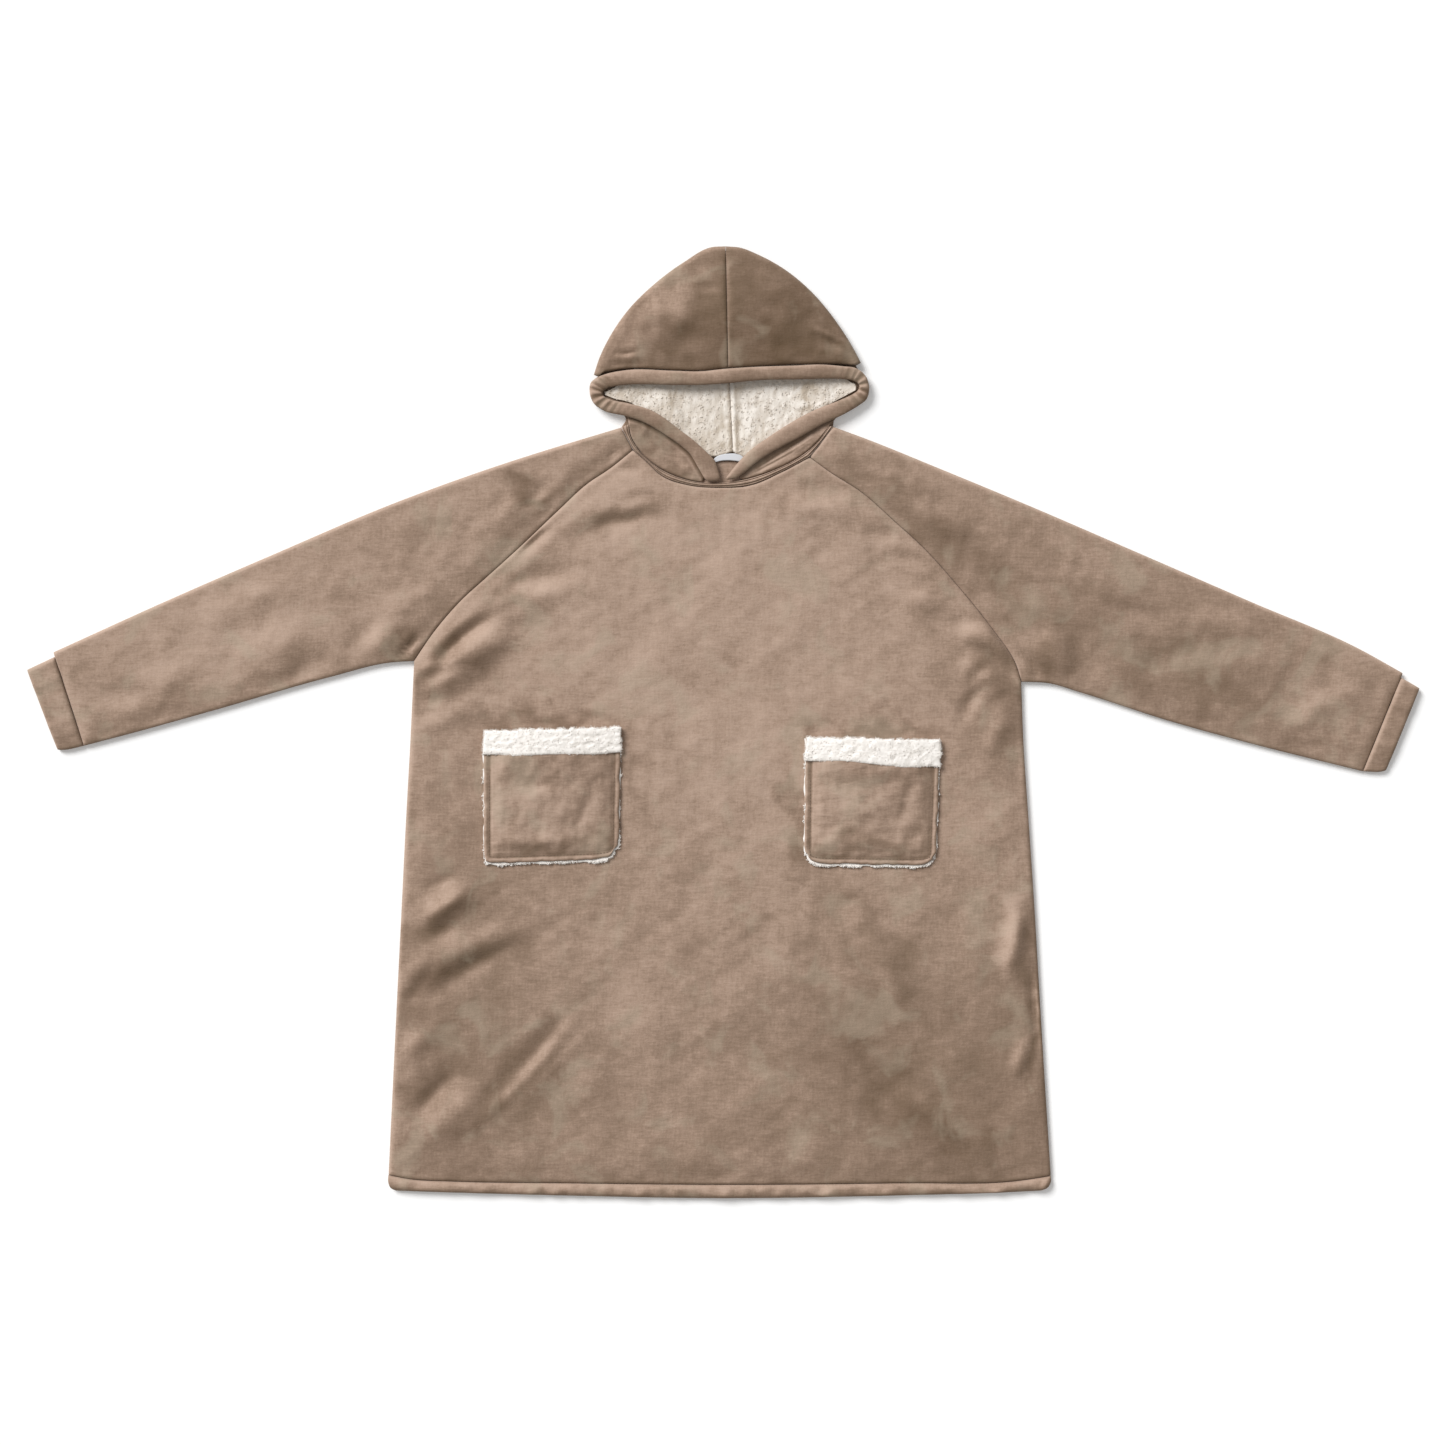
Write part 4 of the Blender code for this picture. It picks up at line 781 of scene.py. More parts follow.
def plush_group() -> bpy.types.NodeTree:
    """The node group that every plush fleece shares: its smudged tone and the height of its nap.

    Returns:
        A group with the outputs Tone and Height.
    """
    made = bpy.data.node_groups.get("plush_nap")
    if made:
        return made
    made = bpy.data.node_groups.new("plush_nap", "ShaderNodeTree")
    made.interface.new_socket("Place", in_out="INPUT", socket_type="NodeSocketVector")
    made.interface.new_socket("Nap", in_out="INPUT", socket_type="NodeSocketFloat")
    made.interface.new_socket("Tone", in_out="OUTPUT", socket_type="NodeSocketFloat")
    made.interface.new_socket("Height", in_out="OUTPUT", socket_type="NodeSocketFloat")
    graph = Graph(made)
    into = made.nodes.new("NodeGroupInput")
    place, nap = into.outputs["Place"], into.outputs["Nap"]
    total, height = nap, 0.0
    for stretch, turn, scale, detail, roughness, distortion, tone_share, height_share in NAP_LAYERS:
        value = graph.noise(graph.stretched(place, stretch, turn), scale, detail, roughness, distortion)
        total = graph.math("MULTIPLY_ADD", graph.math("SUBTRACT", value, 0.5), tone_share, total)
        if height_share:
            height = graph.math("MULTIPLY_ADD", value, height_share, height)
    out = made.nodes.new("NodeGroupOutput")
    made.links.new(total, out.inputs["Tone"])
    made.links.new(height, out.inputs["Height"])
    return made


class Finish:
    """What all finishes share: each makes its material once, under its own name."""

    def material(self) -> bpy.types.Material:
        """The finish as a material, made at its first use."""
        made = bpy.data.materials.get(self.name)
        if made is None:
            made = bpy.data.materials.new(self.name)
            made.use_nodes = True
            self.paint(Graph(made.node_tree), made.node_tree.nodes["Principled BSDF"])
        return made


@dataclass(frozen=True)
class Fleece(Finish):
    """Plush fleece: a smudged nap, with painted shade and light, between a dark and a light tone, a soft sheen
    and a fine bump.
    """

    name: str = "plush_fleece"
    dark: tuple = (0.100, 0.056, 0.031)
    middle: tuple = (0.376, 0.264, 0.198)
    light: tuple = (0.640, 0.480, 0.385)
    olive: tuple = (0.205, 0.155, 0.092)
    beige: tuple = (0.430, 0.360, 0.270)
    sheen: float = 0.24
    sheen_roughness: float = 0.45
    sheen_tint: tuple = (0.95, 0.86, 0.78)
    roughness: float = 0.92
    gloss: float = 0.15
    bump: float = 0.55
    bump_depth: float = 0.0016

    def paint(self, graph: Graph, shader: bpy.types.Node) -> None:
        """Joins the finish's nodes to the shader.

        Args:
            graph: the material's tree.
            shader: its Principled node.
        """
        place = graph.add("ShaderNodeTexCoord").outputs["Object"]
        # The nap attribute holds the nap smudges and the painted light and shade
        nap = graph.add("ShaderNodeAttribute", attribute_name="nap").outputs["Fac"]
        group = graph.add("ShaderNodeGroup", node_tree=plush_group())
        graph.fill(group, {"Place": place, "Nap": nap})
        size = graph.math("MULTIPLY_ADD", graph.math("ABSOLUTE", group.outputs["Tone"]), 0.5, 1.0)
        share = graph.math("MULTIPLY_ADD", graph.math("DIVIDE", group.outputs["Tone"], size), 0.46, 0.49)
        ramp = graph.add("ShaderNodeValToRGB", {"Fac": share})
        ramp.color_ramp.interpolation = "LINEAR"
        ramp.color_ramp.elements[0].position = 0.0
        ramp.color_ramp.elements[0].color = (*self.dark, 1.0)
        ramp.color_ramp.elements[1].position = 1.0
        ramp.color_ramp.elements[1].color = (*self.light, 1.0)
        ramp.color_ramp.elements.new(0.5).color = (*self.middle, 1.0)
        hue = graph.noise(place, 9.0, 2.0)
        amount = graph.math("MULTIPLY", graph.math("SUBTRACT", 0.50, share), hue)
        amount = graph.math("MAXIMUM", amount, 0.0)
        colour = graph.mixed(amount, ramp.outputs[0], self.olive)
        faded = graph.noise(place, 17.0, 3.0, 0.55, 0.6)
        faded = graph.math("MULTIPLY", graph.math("SUBTRACT", faded, 0.54), 2.6)
        faded = graph.math("MINIMUM", graph.math("MAXIMUM", faded, 0.0), 0.3)
        colour = graph.mixed(faded, colour, self.beige)
        values = {"Height": group.outputs["Height"], "Strength": self.bump, "Distance": self.bump_depth}
        bump = graph.add("ShaderNodeBump", values)
        graph.fill(shader, {"Base Color": colour, "Normal": bump.outputs[0],
                            "Roughness": self.roughness, "Specular IOR Level": self.gloss,
                            "Sheen Weight": self.sheen, "Sheen Roughness": self.sheen_roughness,
                            "Sheen Tint": (*self.sheen_tint, 1.0)})


@dataclass(frozen=True)
class Sherpa(Finish):
    """Curly pile: off-white, with painted shade in its hollows, where its bump is low, and a crinkled bump."""

    name: str
    light: tuple
    shade: tuple
    clump: float = 130.0
    contrast: float = 0.5
    bump: float = 0.6
    sheen: float = 0.3
    bump_depth: float = 0.002
    roughness: float = 0.95
    gloss: float = 0.1
    sheen_roughness: float = 0.5

    def paint(self, graph: Graph, shader: bpy.types.Node) -> None:
        """Joins the finish's nodes to the shader.

        Args:
            graph: the material's tree.
            shader: its Principled node.
        """
        place = graph.add("ShaderNodeTexCoord").outputs["Object"]
        clumps = graph.noise(place, self.clump, 4.0, 0.62, 1.2)
        fibres = graph.noise(place, 620.0, 3.0, 0.6, 0.8)
        broad = graph.noise(graph.stretched(place, (1.5, 0.5, 1.0), 6), 30.0, 3.0)
        # Painted shade: the colour darkens where the clumps, which also raise the bump, are low, in the pile's
        # hollows
        tone = graph.math("MULTIPLY_ADD", clumps, self.contrast, graph.math("MULTIPLY", fibres, 0.3))
        tone = graph.math("SUBTRACT", tone, 0.5 * self.contrast)
        tone = graph.math("MULTIPLY_ADD", broad, 0.9, tone)
        # The nap attribute adds its patches of painted shade and the painted light and shade of each slope
        nap = graph.add("ShaderNodeAttribute", attribute_name="nap").outputs["Fac"]
        tone = graph.add("ShaderNodeClamp", {0: graph.math("ADD", tone, nap)}).outputs[0]
        colour = graph.mixed(tone, (*self.shade, 1.0), self.light)
        height = graph.math("MULTIPLY_ADD", clumps, 1.0, graph.math("MULTIPLY", fibres, 0.35))
        values = {"Height": height, "Strength": self.bump, "Distance": self.bump_depth}
        bump = graph.add("ShaderNodeBump", values)
        graph.fill(shader, {"Base Color": colour, "Normal": bump.outputs[0],
                            "Roughness": self.roughness, "Specular IOR Level": self.gloss,
                            "Sheen Weight": self.sheen, "Sheen Roughness": self.sheen_roughness})


@dataclass(frozen=True)
class Plain(Finish):
    """A plain finish with one colour, such as thread, satin or the floor."""

    name: str
    colour: tuple
    roughness: float
    glow: float = 0.0

    def paint(self, graph: Graph, shader: bpy.types.Node) -> None:
        """Sets the finish's values on the shader.

        Args:
            graph: the material's tree.
            shader: its Principled node.
        """
        graph.fill(shader, {"Base Color": (*self.colour, 1.0), "Roughness": self.roughness,
                            "Emission Color": (1.0, 1.0, 1.0, 1.0), "Emission Strength": self.glow})


FLEECE = Fleece()
# The lining's sherpa is a darker copy of the trim's: painted shade for the inside of the hood
LINING_SHADED_SHERPA = Sherpa("sherpa_lining_shaded", (0.86, 0.80, 0.73), (0.60, 0.51, 0.41))
TRIM = Sherpa("sherpa_trim", (0.955, 0.915, 0.875), (0.88, 0.83, 0.77), 240.0, 0.4, 0.26, 0.5)
SATIN = Plain("label_satin", (0.68, 0.69, 0.72), 0.45)
THREAD = Plain("thread", (0.17, 0.115, 0.082), 0.7)


@dataclass(frozen=True)
class Pocket:
    """A patch pocket: corners of its fleece square, and the lower ends of its turned-out top."""

    name: str
    low_left: tuple
    low_right: tuple
    top_left: tuple
    top_right: tuple
    trim_left: float
    trim_right: float
    round_left: float
    round_right: float


POCKETS = (
    Pocket("left", (-298, -176), (-130, -170), (-298, -12), (-127, -8), -41, -38, 3.0, 10.0),
    Pocket("right", (102, -176), (266, -178), (104, -20), (272, -24), -47, -57, 8.0, 7.0),
)
BACKING_BASE = LAYER_2 + LOFT + WALL + 0.2

# How the edges of a pocket's trim wander: plan axis, edges, reach, most, seed step, longest and shortest wave
TRIM_WANDER = (
    (0, (0, 1), 4.0, 1.0, 11, 14, 7), (1, (3,), 4.0, 1.1, 12, 26, 7), (1, (2,), 6.0, 1.4, 15, 120, 50),
)


def set_in(plan: np.ndarray) -> np.ndarray:
    """How far each plan point is outside the pockets' squares.

    Args:
        plan: points in plan, two columns last.

    Returns:
        Distances in millimetres, negative inside a square.
    """
    least = np.full(plan.shape[:-1], 1e6)
    for pocket in POCKETS:
        xs, ys = (pocket.low_left[0], pocket.top_right[0]), (pocket.low_left[1], pocket.top_right[1])
        beyond_x = np.maximum(xs[0] - plan[..., 0], plan[..., 0] - xs[1])
        beyond_y = np.maximum(ys[0] - plan[..., 1], plan[..., 1] - ys[1])
        least = np.minimum(least, np.maximum(beyond_x, beyond_y))
    return least


def between(first: np.ndarray, second: np.ndarray, across: np.ndarray) -> np.ndarray:
    """A grid of points: each row runs from a point of the first line to its partner on the second."""
    share = across[..., None] if across.ndim == 2 else across[:, None]
    return first[:, None] * (1 - share) + second[:, None] * share


def four_cornered(low: tuple, top: tuple, across: np.ndarray, up: np.ndarray) -> np.ndarray:
    """A grid of plan points between four corners.

    Args:
        low: the lower left and lower right corner.
        top: the upper left and upper right corner.
        across: shares of the way from left to right, one a column.
        up: shares of the way from the lower to the upper edge, one a row.

    Returns:
        The grid, rows from the lower edge up.
    """
    across, up = across[:, None], up[:, None, None]
    low, top = (left * (1 - across) + right * across for left, right in (np.array(low), np.array(top)))
    return low * (1 - up) + top * up


def folded(front_plan: np.ndarray, back_plan: np.ndarray, fold_line: np.ndarray, inward: np.ndarray,
           front: tuple, back: tuple) -> tuple:
    """Outer and inner grids of a wall folded back under itself.

    Args:
        front_plan: plan of the top layer, from its open edge to the fold.
        back_plan: plan of the lower layer, from the fold to its open edge.
        fold_line: the outermost line of the fold.
        inward: direction in from the fold, one for each row.
        front: low and high surface of the top layer.
        back: low and high surface of the lower layer.

    Returns:
        The outer grid and the inner grid; the wall turns on two half circles about one line.
    """
    angles = np.pi * np.arange(1, ARC_STEPS) / ARC_STEPS
    centre = front_plan[:, -1][:, None]

    def turned(top: np.ndarray, bottom: np.ndarray, reach: np.ndarray) -> np.ndarray:
        """The half circle from a top to a bottom, pushed out by a reach."""
        radius = (top - bottom)[:, None] / 2
        swing = inward[:, None] * (reach[:, None] * np.sin(angles))[..., None]
        return with_heights(centre - swing, (top + bottom)[:, None] / 2 + radius * np.cos(angles))

    reach = np.linalg.norm(front_plan[:, -1] - fold_line, axis=1)
    inner_radius = (front[0][:, -1] - back[1][:, 0]) / 2
    outer_arc = turned(front[1][:, -1], back[0][:, 0], reach)
    inner_arc = turned(front[0][:, -1], back[1][:, 0], inner_radius)
    outer = (with_heights(front_plan, front[1]), outer_arc, with_heights(back_plan, back[0]))
    inner = (with_heights(front_plan, front[0]), inner_arc, with_heights(back_plan, back[1]))
    return np.concatenate(outer, axis=1), np.concatenate(inner, axis=1)


def thin_enough(low: np.ndarray, top: np.ndarray) -> np.ndarray:
    """The underside of a wall, moved down where the wall would be thinner than cloth can be."""
    return np.minimum(low, top - THINNEST)


def pressed(top: np.ndarray, ground: float) -> np.ndarray:
    """The underside of a layer: a wall below its top, but never under the ground or too near the top."""
    return thin_enough(np.maximum(ground, top - WALL), top)


@dataclass(frozen=True)
class Cut:
    """A piece's cut before it was sewn: width and length in metres, its area, and what it lies on."""

    width: float
    length: float
    area: float
    rests_on: tuple = ()

    def declare(self, piece: bpy.types.Object, with_pieces: tuple = ()) -> None:
        """Does nothing: the piece is not stated as a sheet of cloth anywhere."""


@dataclass(frozen=True)
class BodySizes:
    """Counts and small sizes of the body panels."""

    columns: int = 150
    side_rows: int = 118
    raglan_rows: int = 66
    back_columns: int = 56
    back_side_rows: int = 44
    back_raglan_rows: int = 26
    side_roll: float = 6.0
    side_drop: float = 3.2
    seam_roll: float = 4.2
    seam_drop: float = 2.1
    crease_rise: float = 9.0
    swell: float = 0.55


class Body:
    """The front and the back, one lying on the other."""

    def __init__(self, sizes: BodySizes = BodySizes()) -> None:
        """Keeps the sizes."""
        self.sizes = sizes

    def plan(self, neck_line: tuple, columns: int, side_rows: int, raglan_rows: int) -> np.ndarray:
        """Plan points of a panel.

        Args:
            neck_line: the panel's neck seam.
            columns: even columns between the finer ones at both sides.
            side_rows: even rows up the side seam.
            raglan_rows: even rows up the raglan seam.

        Returns:
            A grid, rows from the hem to the neck and columns from left to right.
        """
        side = spaced(SIDE_LENGTH, side_rows, both=False)[0]
        raglan = spaced(RAGLAN_LENGTH, raglan_rows, both=False)[0]
        left = np.concatenate((through(SIDE_LEFT, side)[:-1], through(RAGLAN_LEFT, raglan)[::-1]))
        right = np.concatenate((through(SIDE_RIGHT, side)[:-1], through(RAGLAN_RIGHT, raglan)[::-1]))
        across = spaced(np.linalg.norm(right - left, axis=1), columns)
        plan = between(left, right, across)
        near_neck = np.concatenate((np.zeros(len(side) - 1), eased(1.0 - raglan[::-1])))
        near_hem = np.concatenate((eased(1.0 - 3.0 * side[:-1]), np.zeros(len(raglan))))
        plan += near_neck[:, None, None] * (through(neck_line, across[-1]) - plan[-1])
        plan += near_hem[:, None, None] * (through(HEM_SEAM, across[0]) - plan[0])
        plan[:, 0, 0] += HALF_SEAM
        plan[:, -1, 0] -= HALF_SEAM
        plan[0, :, 1] += HALF_SEAM
        plan[-1, :, 1] -= HALF_SEAM
        return plan

    def build(self) -> tuple:
        """Builds both panels.

        Returns:
            The front and the back object.
        """
        s = self.sizes
        plan = self.plan(NECK_FRONT, s.columns, s.side_rows, s.raglan_rows)
        from_left, from_right, from_hem, from_neck = inset(plan)
        from_side = np.minimum(from_left, from_right)
        edge = np.minimum(from_hem, from_neck)
        free = eased(from_side / RISE) * eased(edge / RISE)
        loose = eased(from_side / s.crease_rise) * eased(edge / s.crease_rise)
        loose = loose * eased((set_in(plan) - 2.0) / 22.0)
        height = creased(plan, FRONT_CREASES) + s.swell * waves(plan, 5, 160, 50)
        height += 0.22 * waves(plan, 6, 34, 18)
        top = LAYER_2 + WALL + LOFT * free + loose * height
        on_raglan = np.arange(len(plan)) >= s.side_rows + len(EDGE_STEPS) - 2
        side_drop = np.where(on_raglan, s.seam_drop, s.side_drop)[:, None]
        low = pressed(top, LAYER_2)
        top = top - rolled(from_side, s.side_roll, 1.0) * side_drop
        top = top - rolled(edge, s.seam_roll, s.seam_drop)
        low = thin_enough(low, top)
        piece = Piece("front_cloth", ("front_panel",), "fleece")
        front = piece.shell(with_heights(plan, top), with_heights(plan, low), FLEECE, BODY_PATCHES, 21)
        Cut(0.85, 0.93, 0.645, ("back_cloth",)).declare(front)
        plan = self.plan(NECK_BACK, s.back_columns, s.back_side_rows, s.back_raglan_rows)
        from_left, from_right, from_hem, from_neck = inset(plan)
        from_side = np.minimum(from_left, from_right)
        low = rolled(from_side, s.side_roll, 2.2) + 0.35 * np.maximum(waves(plan, 9, 140, 60), 0.0)
        low = low + rolled(np.minimum(from_hem, from_neck), s.seam_roll, 1.2)
        low = np.minimum(low, WALL - THINNEST)
        piece = Piece("back_cloth", ("back_panel",), "fleece")
        back = piece.shell(with_heights(plan, low), with_heights(plan, WALL), FLEECE, BODY_PATCHES, 33)
        Cut(0.85, 0.92, 0.650).declare(back)
        return front, back


@dataclass(frozen=True)
class Arm:
    """One sleeve and its cuff: side, seams, and the far edge of the cuff."""

    name: str
    side: int
    raglan: tuple
    shoulder: tuple
    underarm: tuple
    cuff_end: tuple
    cut: Cut
    cuff_cut: Cut


ARMS = (
    Arm("left", -1, RAGLAN_LEFT, SHOULDER_LEFT, UNDERARM_LEFT, CUFF_END_LEFT,
        Cut(0.80, 0.42, 0.208), Cut(0.215, 0.041, 0.0085)),
    Arm("right", 1, RAGLAN_RIGHT, SHOULDER_RIGHT, UNDERARM_RIGHT, CUFF_END_RIGHT,
        Cut(0.82, 0.44, 0.230), Cut(0.215, 0.033, 0.0069)),
)


@dataclass(frozen=True)
class SleeveSizes:
    """Counts and small sizes of a sleeve and its cuff."""

    raglan_rows: int = 60
    arm_rows: int = 72
    columns: int = 36
    cuff_rows: int = 7
    cuff_columns: int = 22
    roll: float = 4.2
    drop: float = 2.1
    crease_rise: float = 9.0
    puff: float = 1.0
    puff_at: float = 11.0
    pucker: float = 0.45


class Sleeve:
    """A sleeve folded along the shoulder, open at the raglan and underarm seams, with a cuff."""

    def __init__(self, arm: Arm, sizes: SleeveSizes = SleeveSizes()) -> None:
        """Keeps the arm and the sizes."""
        self.arm = arm
        self.sizes = sizes

    def layers(self, open_edge: np.ndarray, fold_line: np.ndarray, radius: float, columns: int) -> tuple:
        """Lays out the two layers of folded cloth.

        Args:
            open_edge: the edge that is sewn, one point a row.
            fold_line: the outermost line of the fold.
            radius: how far in from that line the flat layers end.
            columns: even columns between the two.

        Returns:
            Plans of the top and the lower layer, and the direction in from the fold.
        """
        inward = open_edge - fold_line
        width = np.linalg.norm(inward, axis=1)
        inward = unit(inward)
        front = between(open_edge, fold_line + inward * radius, spaced(width, columns, both=False))
        return front, front[:, ::-1], inward

    def build(self) -> tuple:
        """Builds the sleeve and the cuff.

        Returns:
            The sleeve and the cuff object.
        """
        s, arm = self.sizes, self.arm
        raglan = spaced(RAGLAN_LENGTH, s.raglan_rows, both=False)[0]
        along = 1.0 - spaced(UNDERARM_LENGTH, s.arm_rows, both=False)[0][::-1]
        open_edge = np.concatenate((through(arm.raglan, raglan), through(arm.underarm, along[1:])))
        open_edge[: len(raglan), 0] += arm.side * HALF_SEAM
        beyond = OPPOSITE_ARMPIT + (1 - OPPOSITE_ARMPIT) * along[1:]
        shares = np.concatenate((raglan * OPPOSITE_ARMPIT, beyond))
        fold_line = through(arm.shoulder, shares)
        front, back, inward = self.layers(open_edge, fold_line, SLEEVE_FOLD, s.columns)
        from_seam, from_fold, from_neck, from_cuff = inset(front)
        free = eased(from_seam / RISE) * eased(from_neck / RISE) * eased(from_cuff / RISE)
        loose = eased(from_seam / s.crease_rise) * eased(from_neck / s.crease_rise)
        loose = loose * eased(from_cuff / s.crease_rise)
        height = creased(front, SLEEVE_CREASES) + 0.5 * waves(front, 11, 140, 45)
        height += 0.22 * waves(front, 12, 34, 18)
        height += s.puff * bell(from_cuff - s.puff_at, 7.0)
        top = LAYER_2 + WALL + LOFT * free + loose * height
        top = top + (2 * SLEEVE_FOLD - top) * (1.0 - eased(from_fold / RISE))
        low = pressed(top, LAYER_2)
        top = top - rolled(from_seam, s.roll, s.drop)
        top = top - rolled(np.minimum(from_cuff, from_neck), s.roll, s.drop)
        low = thin_enough(low, top)
        back_low = rolled(from_seam, s.roll, 2.0)[:, ::-1]
        back_high = np.full_like(back_low, WALL)
        grids = folded(front, back, fold_line, inward, (low, top), (back_low, back_high))
        piece = Piece(f"sleeve_{arm.name}_cloth", (f"sleeve_{arm.name}",), "fleece")
        sleeve = piece.shell(*grids, FLEECE, SLEEVE_PATCHES, 41 + arm.side)
        arm.cut.declare(sleeve)
        return sleeve, self.cuff()

    def cuff(self) -> bpy.types.Object:
        """Builds the cuff: a short band round the end of the sleeve, puckered along its seam.

        Returns:
            The object.
        """
        s, arm = self.sizes, self.arm
        sleeve_top, sleeve_low = np.array(arm.shoulder[-1], float), np.array(arm.underarm[-1], float)
        far_top, far_low = np.array(arm.cuff_end, float)
        outwards = unit(far_low - sleeve_low)
        step = CUFF_STEP * unit(sleeve_low - sleeve_top)
        near_top, near_low = sleeve_top + step + outwards * 0.3, sleeve_low + outwards * 0.3
        rows = spaced(CUFF_LENGTH, s.cuff_rows)[0][:, None]
        far_low = far_low - (far_low - far_top) * 0.03 * rows**4
        front, back, inward = self.layers(
            near_low + (far_low - near_low) * rows, near_top + (far_top - near_top) * rows, CUFF_FOLD,
            s.cuff_columns,
        )
        from_seam, _, from_sleeve, from_wrist = inset(front)
        rise = eased(from_seam / RISE)
        top = LAYER_2 + WALL + (2 * CUFF_FOLD - LAYER_2 - WALL) * rise
        place = from_seam[..., None] * (1, 0) + from_sleeve[..., None] * (0.2, 0)
        top = top + rise * s.pucker * waves(place, 3, 26, 11)
        low = pressed(top, LAYER_2)
        top = top - rolled(from_seam, s.roll, 2.4)
        top = top - rolled(from_sleeve, 5.0, 3.0) - rolled(from_wrist, 5.0, 2.4)
        low = thin_enough(low, top)
        back_low = rolled(from_seam, s.roll, 2.0)
        back_low = back_low + rolled(np.minimum(from_wrist, from_sleeve), 5.0, 1.4)
        back_low = np.minimum(back_low, WALL - THINNEST)[:, ::-1]
        back_high = np.full_like(back_low, WALL)
        fold_line = front[:, -1] - inward * CUFF_FOLD
        grids = folded(front, back, fold_line, inward, (low, top), (back_low, back_high))
        piece = Piece(f"cuff_{arm.name}_cloth", (f"cuff_{arm.name}",), "fleece")
        made = piece.shell(*grids, FLEECE, SLEEVE_PATCHES, 47 + arm.side)
        arm.cuff_cut.declare(made)
        return made


@dataclass(frozen=True)
class HemSizes:
    """Counts and small sizes of the hem casing."""

    columns: int = 210
    rows: tuple = (0.0, 0.04, 0.10, 0.18, 0.30, 0.42, 0.55, 0.68, 0.80, 0.90, 0.96, 1.0)
    valley: float = 2.8
    bulge: float = 2.4
    edge_drop: float = 3.4
    pucker: float = 0.9
    drift: float = 0.16


class HemCasing:
    """The rolled casing round the bottom edge: front strip, a turn at the right side, back strip."""

    def __init__(self, sizes: HemSizes = HemSizes()) -> None:
        """Keeps the sizes."""
        self.sizes = sizes

    def build(self) -> bpy.types.Object:
        """Builds the casing.

        Returns:
            The object.
        """
        s = self.sizes
        columns = spaced(HEM_LENGTH, s.columns)[0]
        rows = np.array(s.rows)
        seam = through(HEM_SEAM, columns) - (0.0, 2 * HALF_SEAM)
        edge = through(HEM_EDGE, columns)
        left, right = through(HEM_CORNER_LEFT, rows), through(HEM_CORNER_RIGHT, rows)
        front = seam * (1 - rows[:, None, None]) + edge * rows[:, None, None]
        ends = left[:, None] * (1 - columns[:, None]) + right[:, None] * columns[:, None]
        straight = front[:, :1] * (1 - columns[:, None]) + front[:, -1:] * columns[:, None]
        front += ends - straight
        front[0, :, 1] = seam[:, 1]
        fold_line = front[:, -1].copy()
        front = front[:, : -len(EDGE_STEPS) + 1]
        inward = unit(front[:, -1] - fold_line)
        run = front[..., :1] * (1.0, 0.0)
        wave = waves(run, 15, 70, 14, 16)
        drift = s.drift * waves(run, 16, 90, 22, 16)
        shifted = np.clip(rows[:, None] + drift * np.sin(np.pi * rows)[:, None], 0.0, 1.0)
        round_out = np.sqrt(np.maximum(1.0 - (2.0 * shifted - 1.0) ** 2, 0.0))
        top = LAYER_2 + WALL - s.valley + (s.valley + s.bulge) * round_out
        top = top - s.edge_drop * np.maximum(rows - 0.6, 0.0)[:, None]
        top = top + s.pucker * wave * round_out
        low = thin_enough(LAYER_2, top)
        back_low = np.broadcast_to((1.0 - round_out) * 1.8, top.shape)
        back_high = np.full(top.shape, WALL)
        grids = folded(front, front[:, ::-1], fold_line, inward, (low, top), (back_low, back_high))
        made = Piece("hem_cloth", ("hem_band",), "fleece").shell(*grids, FLEECE, BODY_PATCHES, 52)
        Cut(1.67, 0.020, 0.0325).declare(made)
        return made


@dataclass(frozen=True)
class HoodHalf:
    """One half of the hood: its side, outline, the seam above the casing, and its lower edge."""

    name: str
    side: int
    crown: tuple
    casing_seam: tuple
    hood_side: tuple
    sleeve_top: tuple
    lining_edges: tuple
    throat: tuple
    cuts: tuple


HOOD_HALVES = (
    HoodHalf("left", -1, CROWN_LEFT, CASING_SEAM_LEFT, HOOD_SIDE_LEFT, NECK_SLEEVE_LEFT,
             (LINING_TOP_LEFT, LINING_LOW_LEFT), (THROAT_TOP_LEFT, THROAT_SHARE_LEFT),
             (Cut(0.18, 0.44, 0.0510), Cut(0.165, 0.13, 0.0125, ("hood_left_cloth",)),
              Cut(0.16, 0.055, 0.0040, ("hood_left_cloth",)))),
    HoodHalf("right", 1, CROWN_RIGHT, CASING_SEAM_RIGHT, HOOD_SIDE_RIGHT, NECK_SLEEVE_RIGHT,
             (LINING_TOP_RIGHT, LINING_LOW_RIGHT), (THROAT_TOP_RIGHT, THROAT_SHARE_RIGHT),
             (Cut(0.18, 0.44, 0.0535), Cut(0.165, 0.13, 0.0127, ("hood_right_cloth",)),
              Cut(0.14, 0.045, 0.0028, ("hood_right_cloth",)))),
)


@dataclass(frozen=True)
class HoodSizes:
    """Counts and small sizes of the hood."""

    stations: int = 62
    columns: int = 34
    back_columns: int = 30
    seam_roll: float = 4.5
    seam_drop: float = 2.1
    casing_drop: float = 3.2
    lining_rows: int = 84
    lining_columns: int = 50
    lining_curls: int = 800
    lobe_rows: int = 70
    lobe_columns: int = 24
    casing_rows: int = 330
    casing_sides: int = 28
    casing_hollow: tuple = (0.84, 0.84, 0.40)
    casing_tucks: tuple = ((0.5, -1.5, 0.0), (-0.5, -1.0, 0.0))
    end_size: float = 0.6
    tips: tuple = ((-157, 411), (175, 415))
    tip_reach: float = 26.0
    tip_pucker: float = 1.2
    pucker_pitch: float = 8.5
    tape_stations: int = 120
    tape_groove: float = 1.7
    # painted shade in the tape's two stitched grooves
    groove_painted_shade: float = -0.5


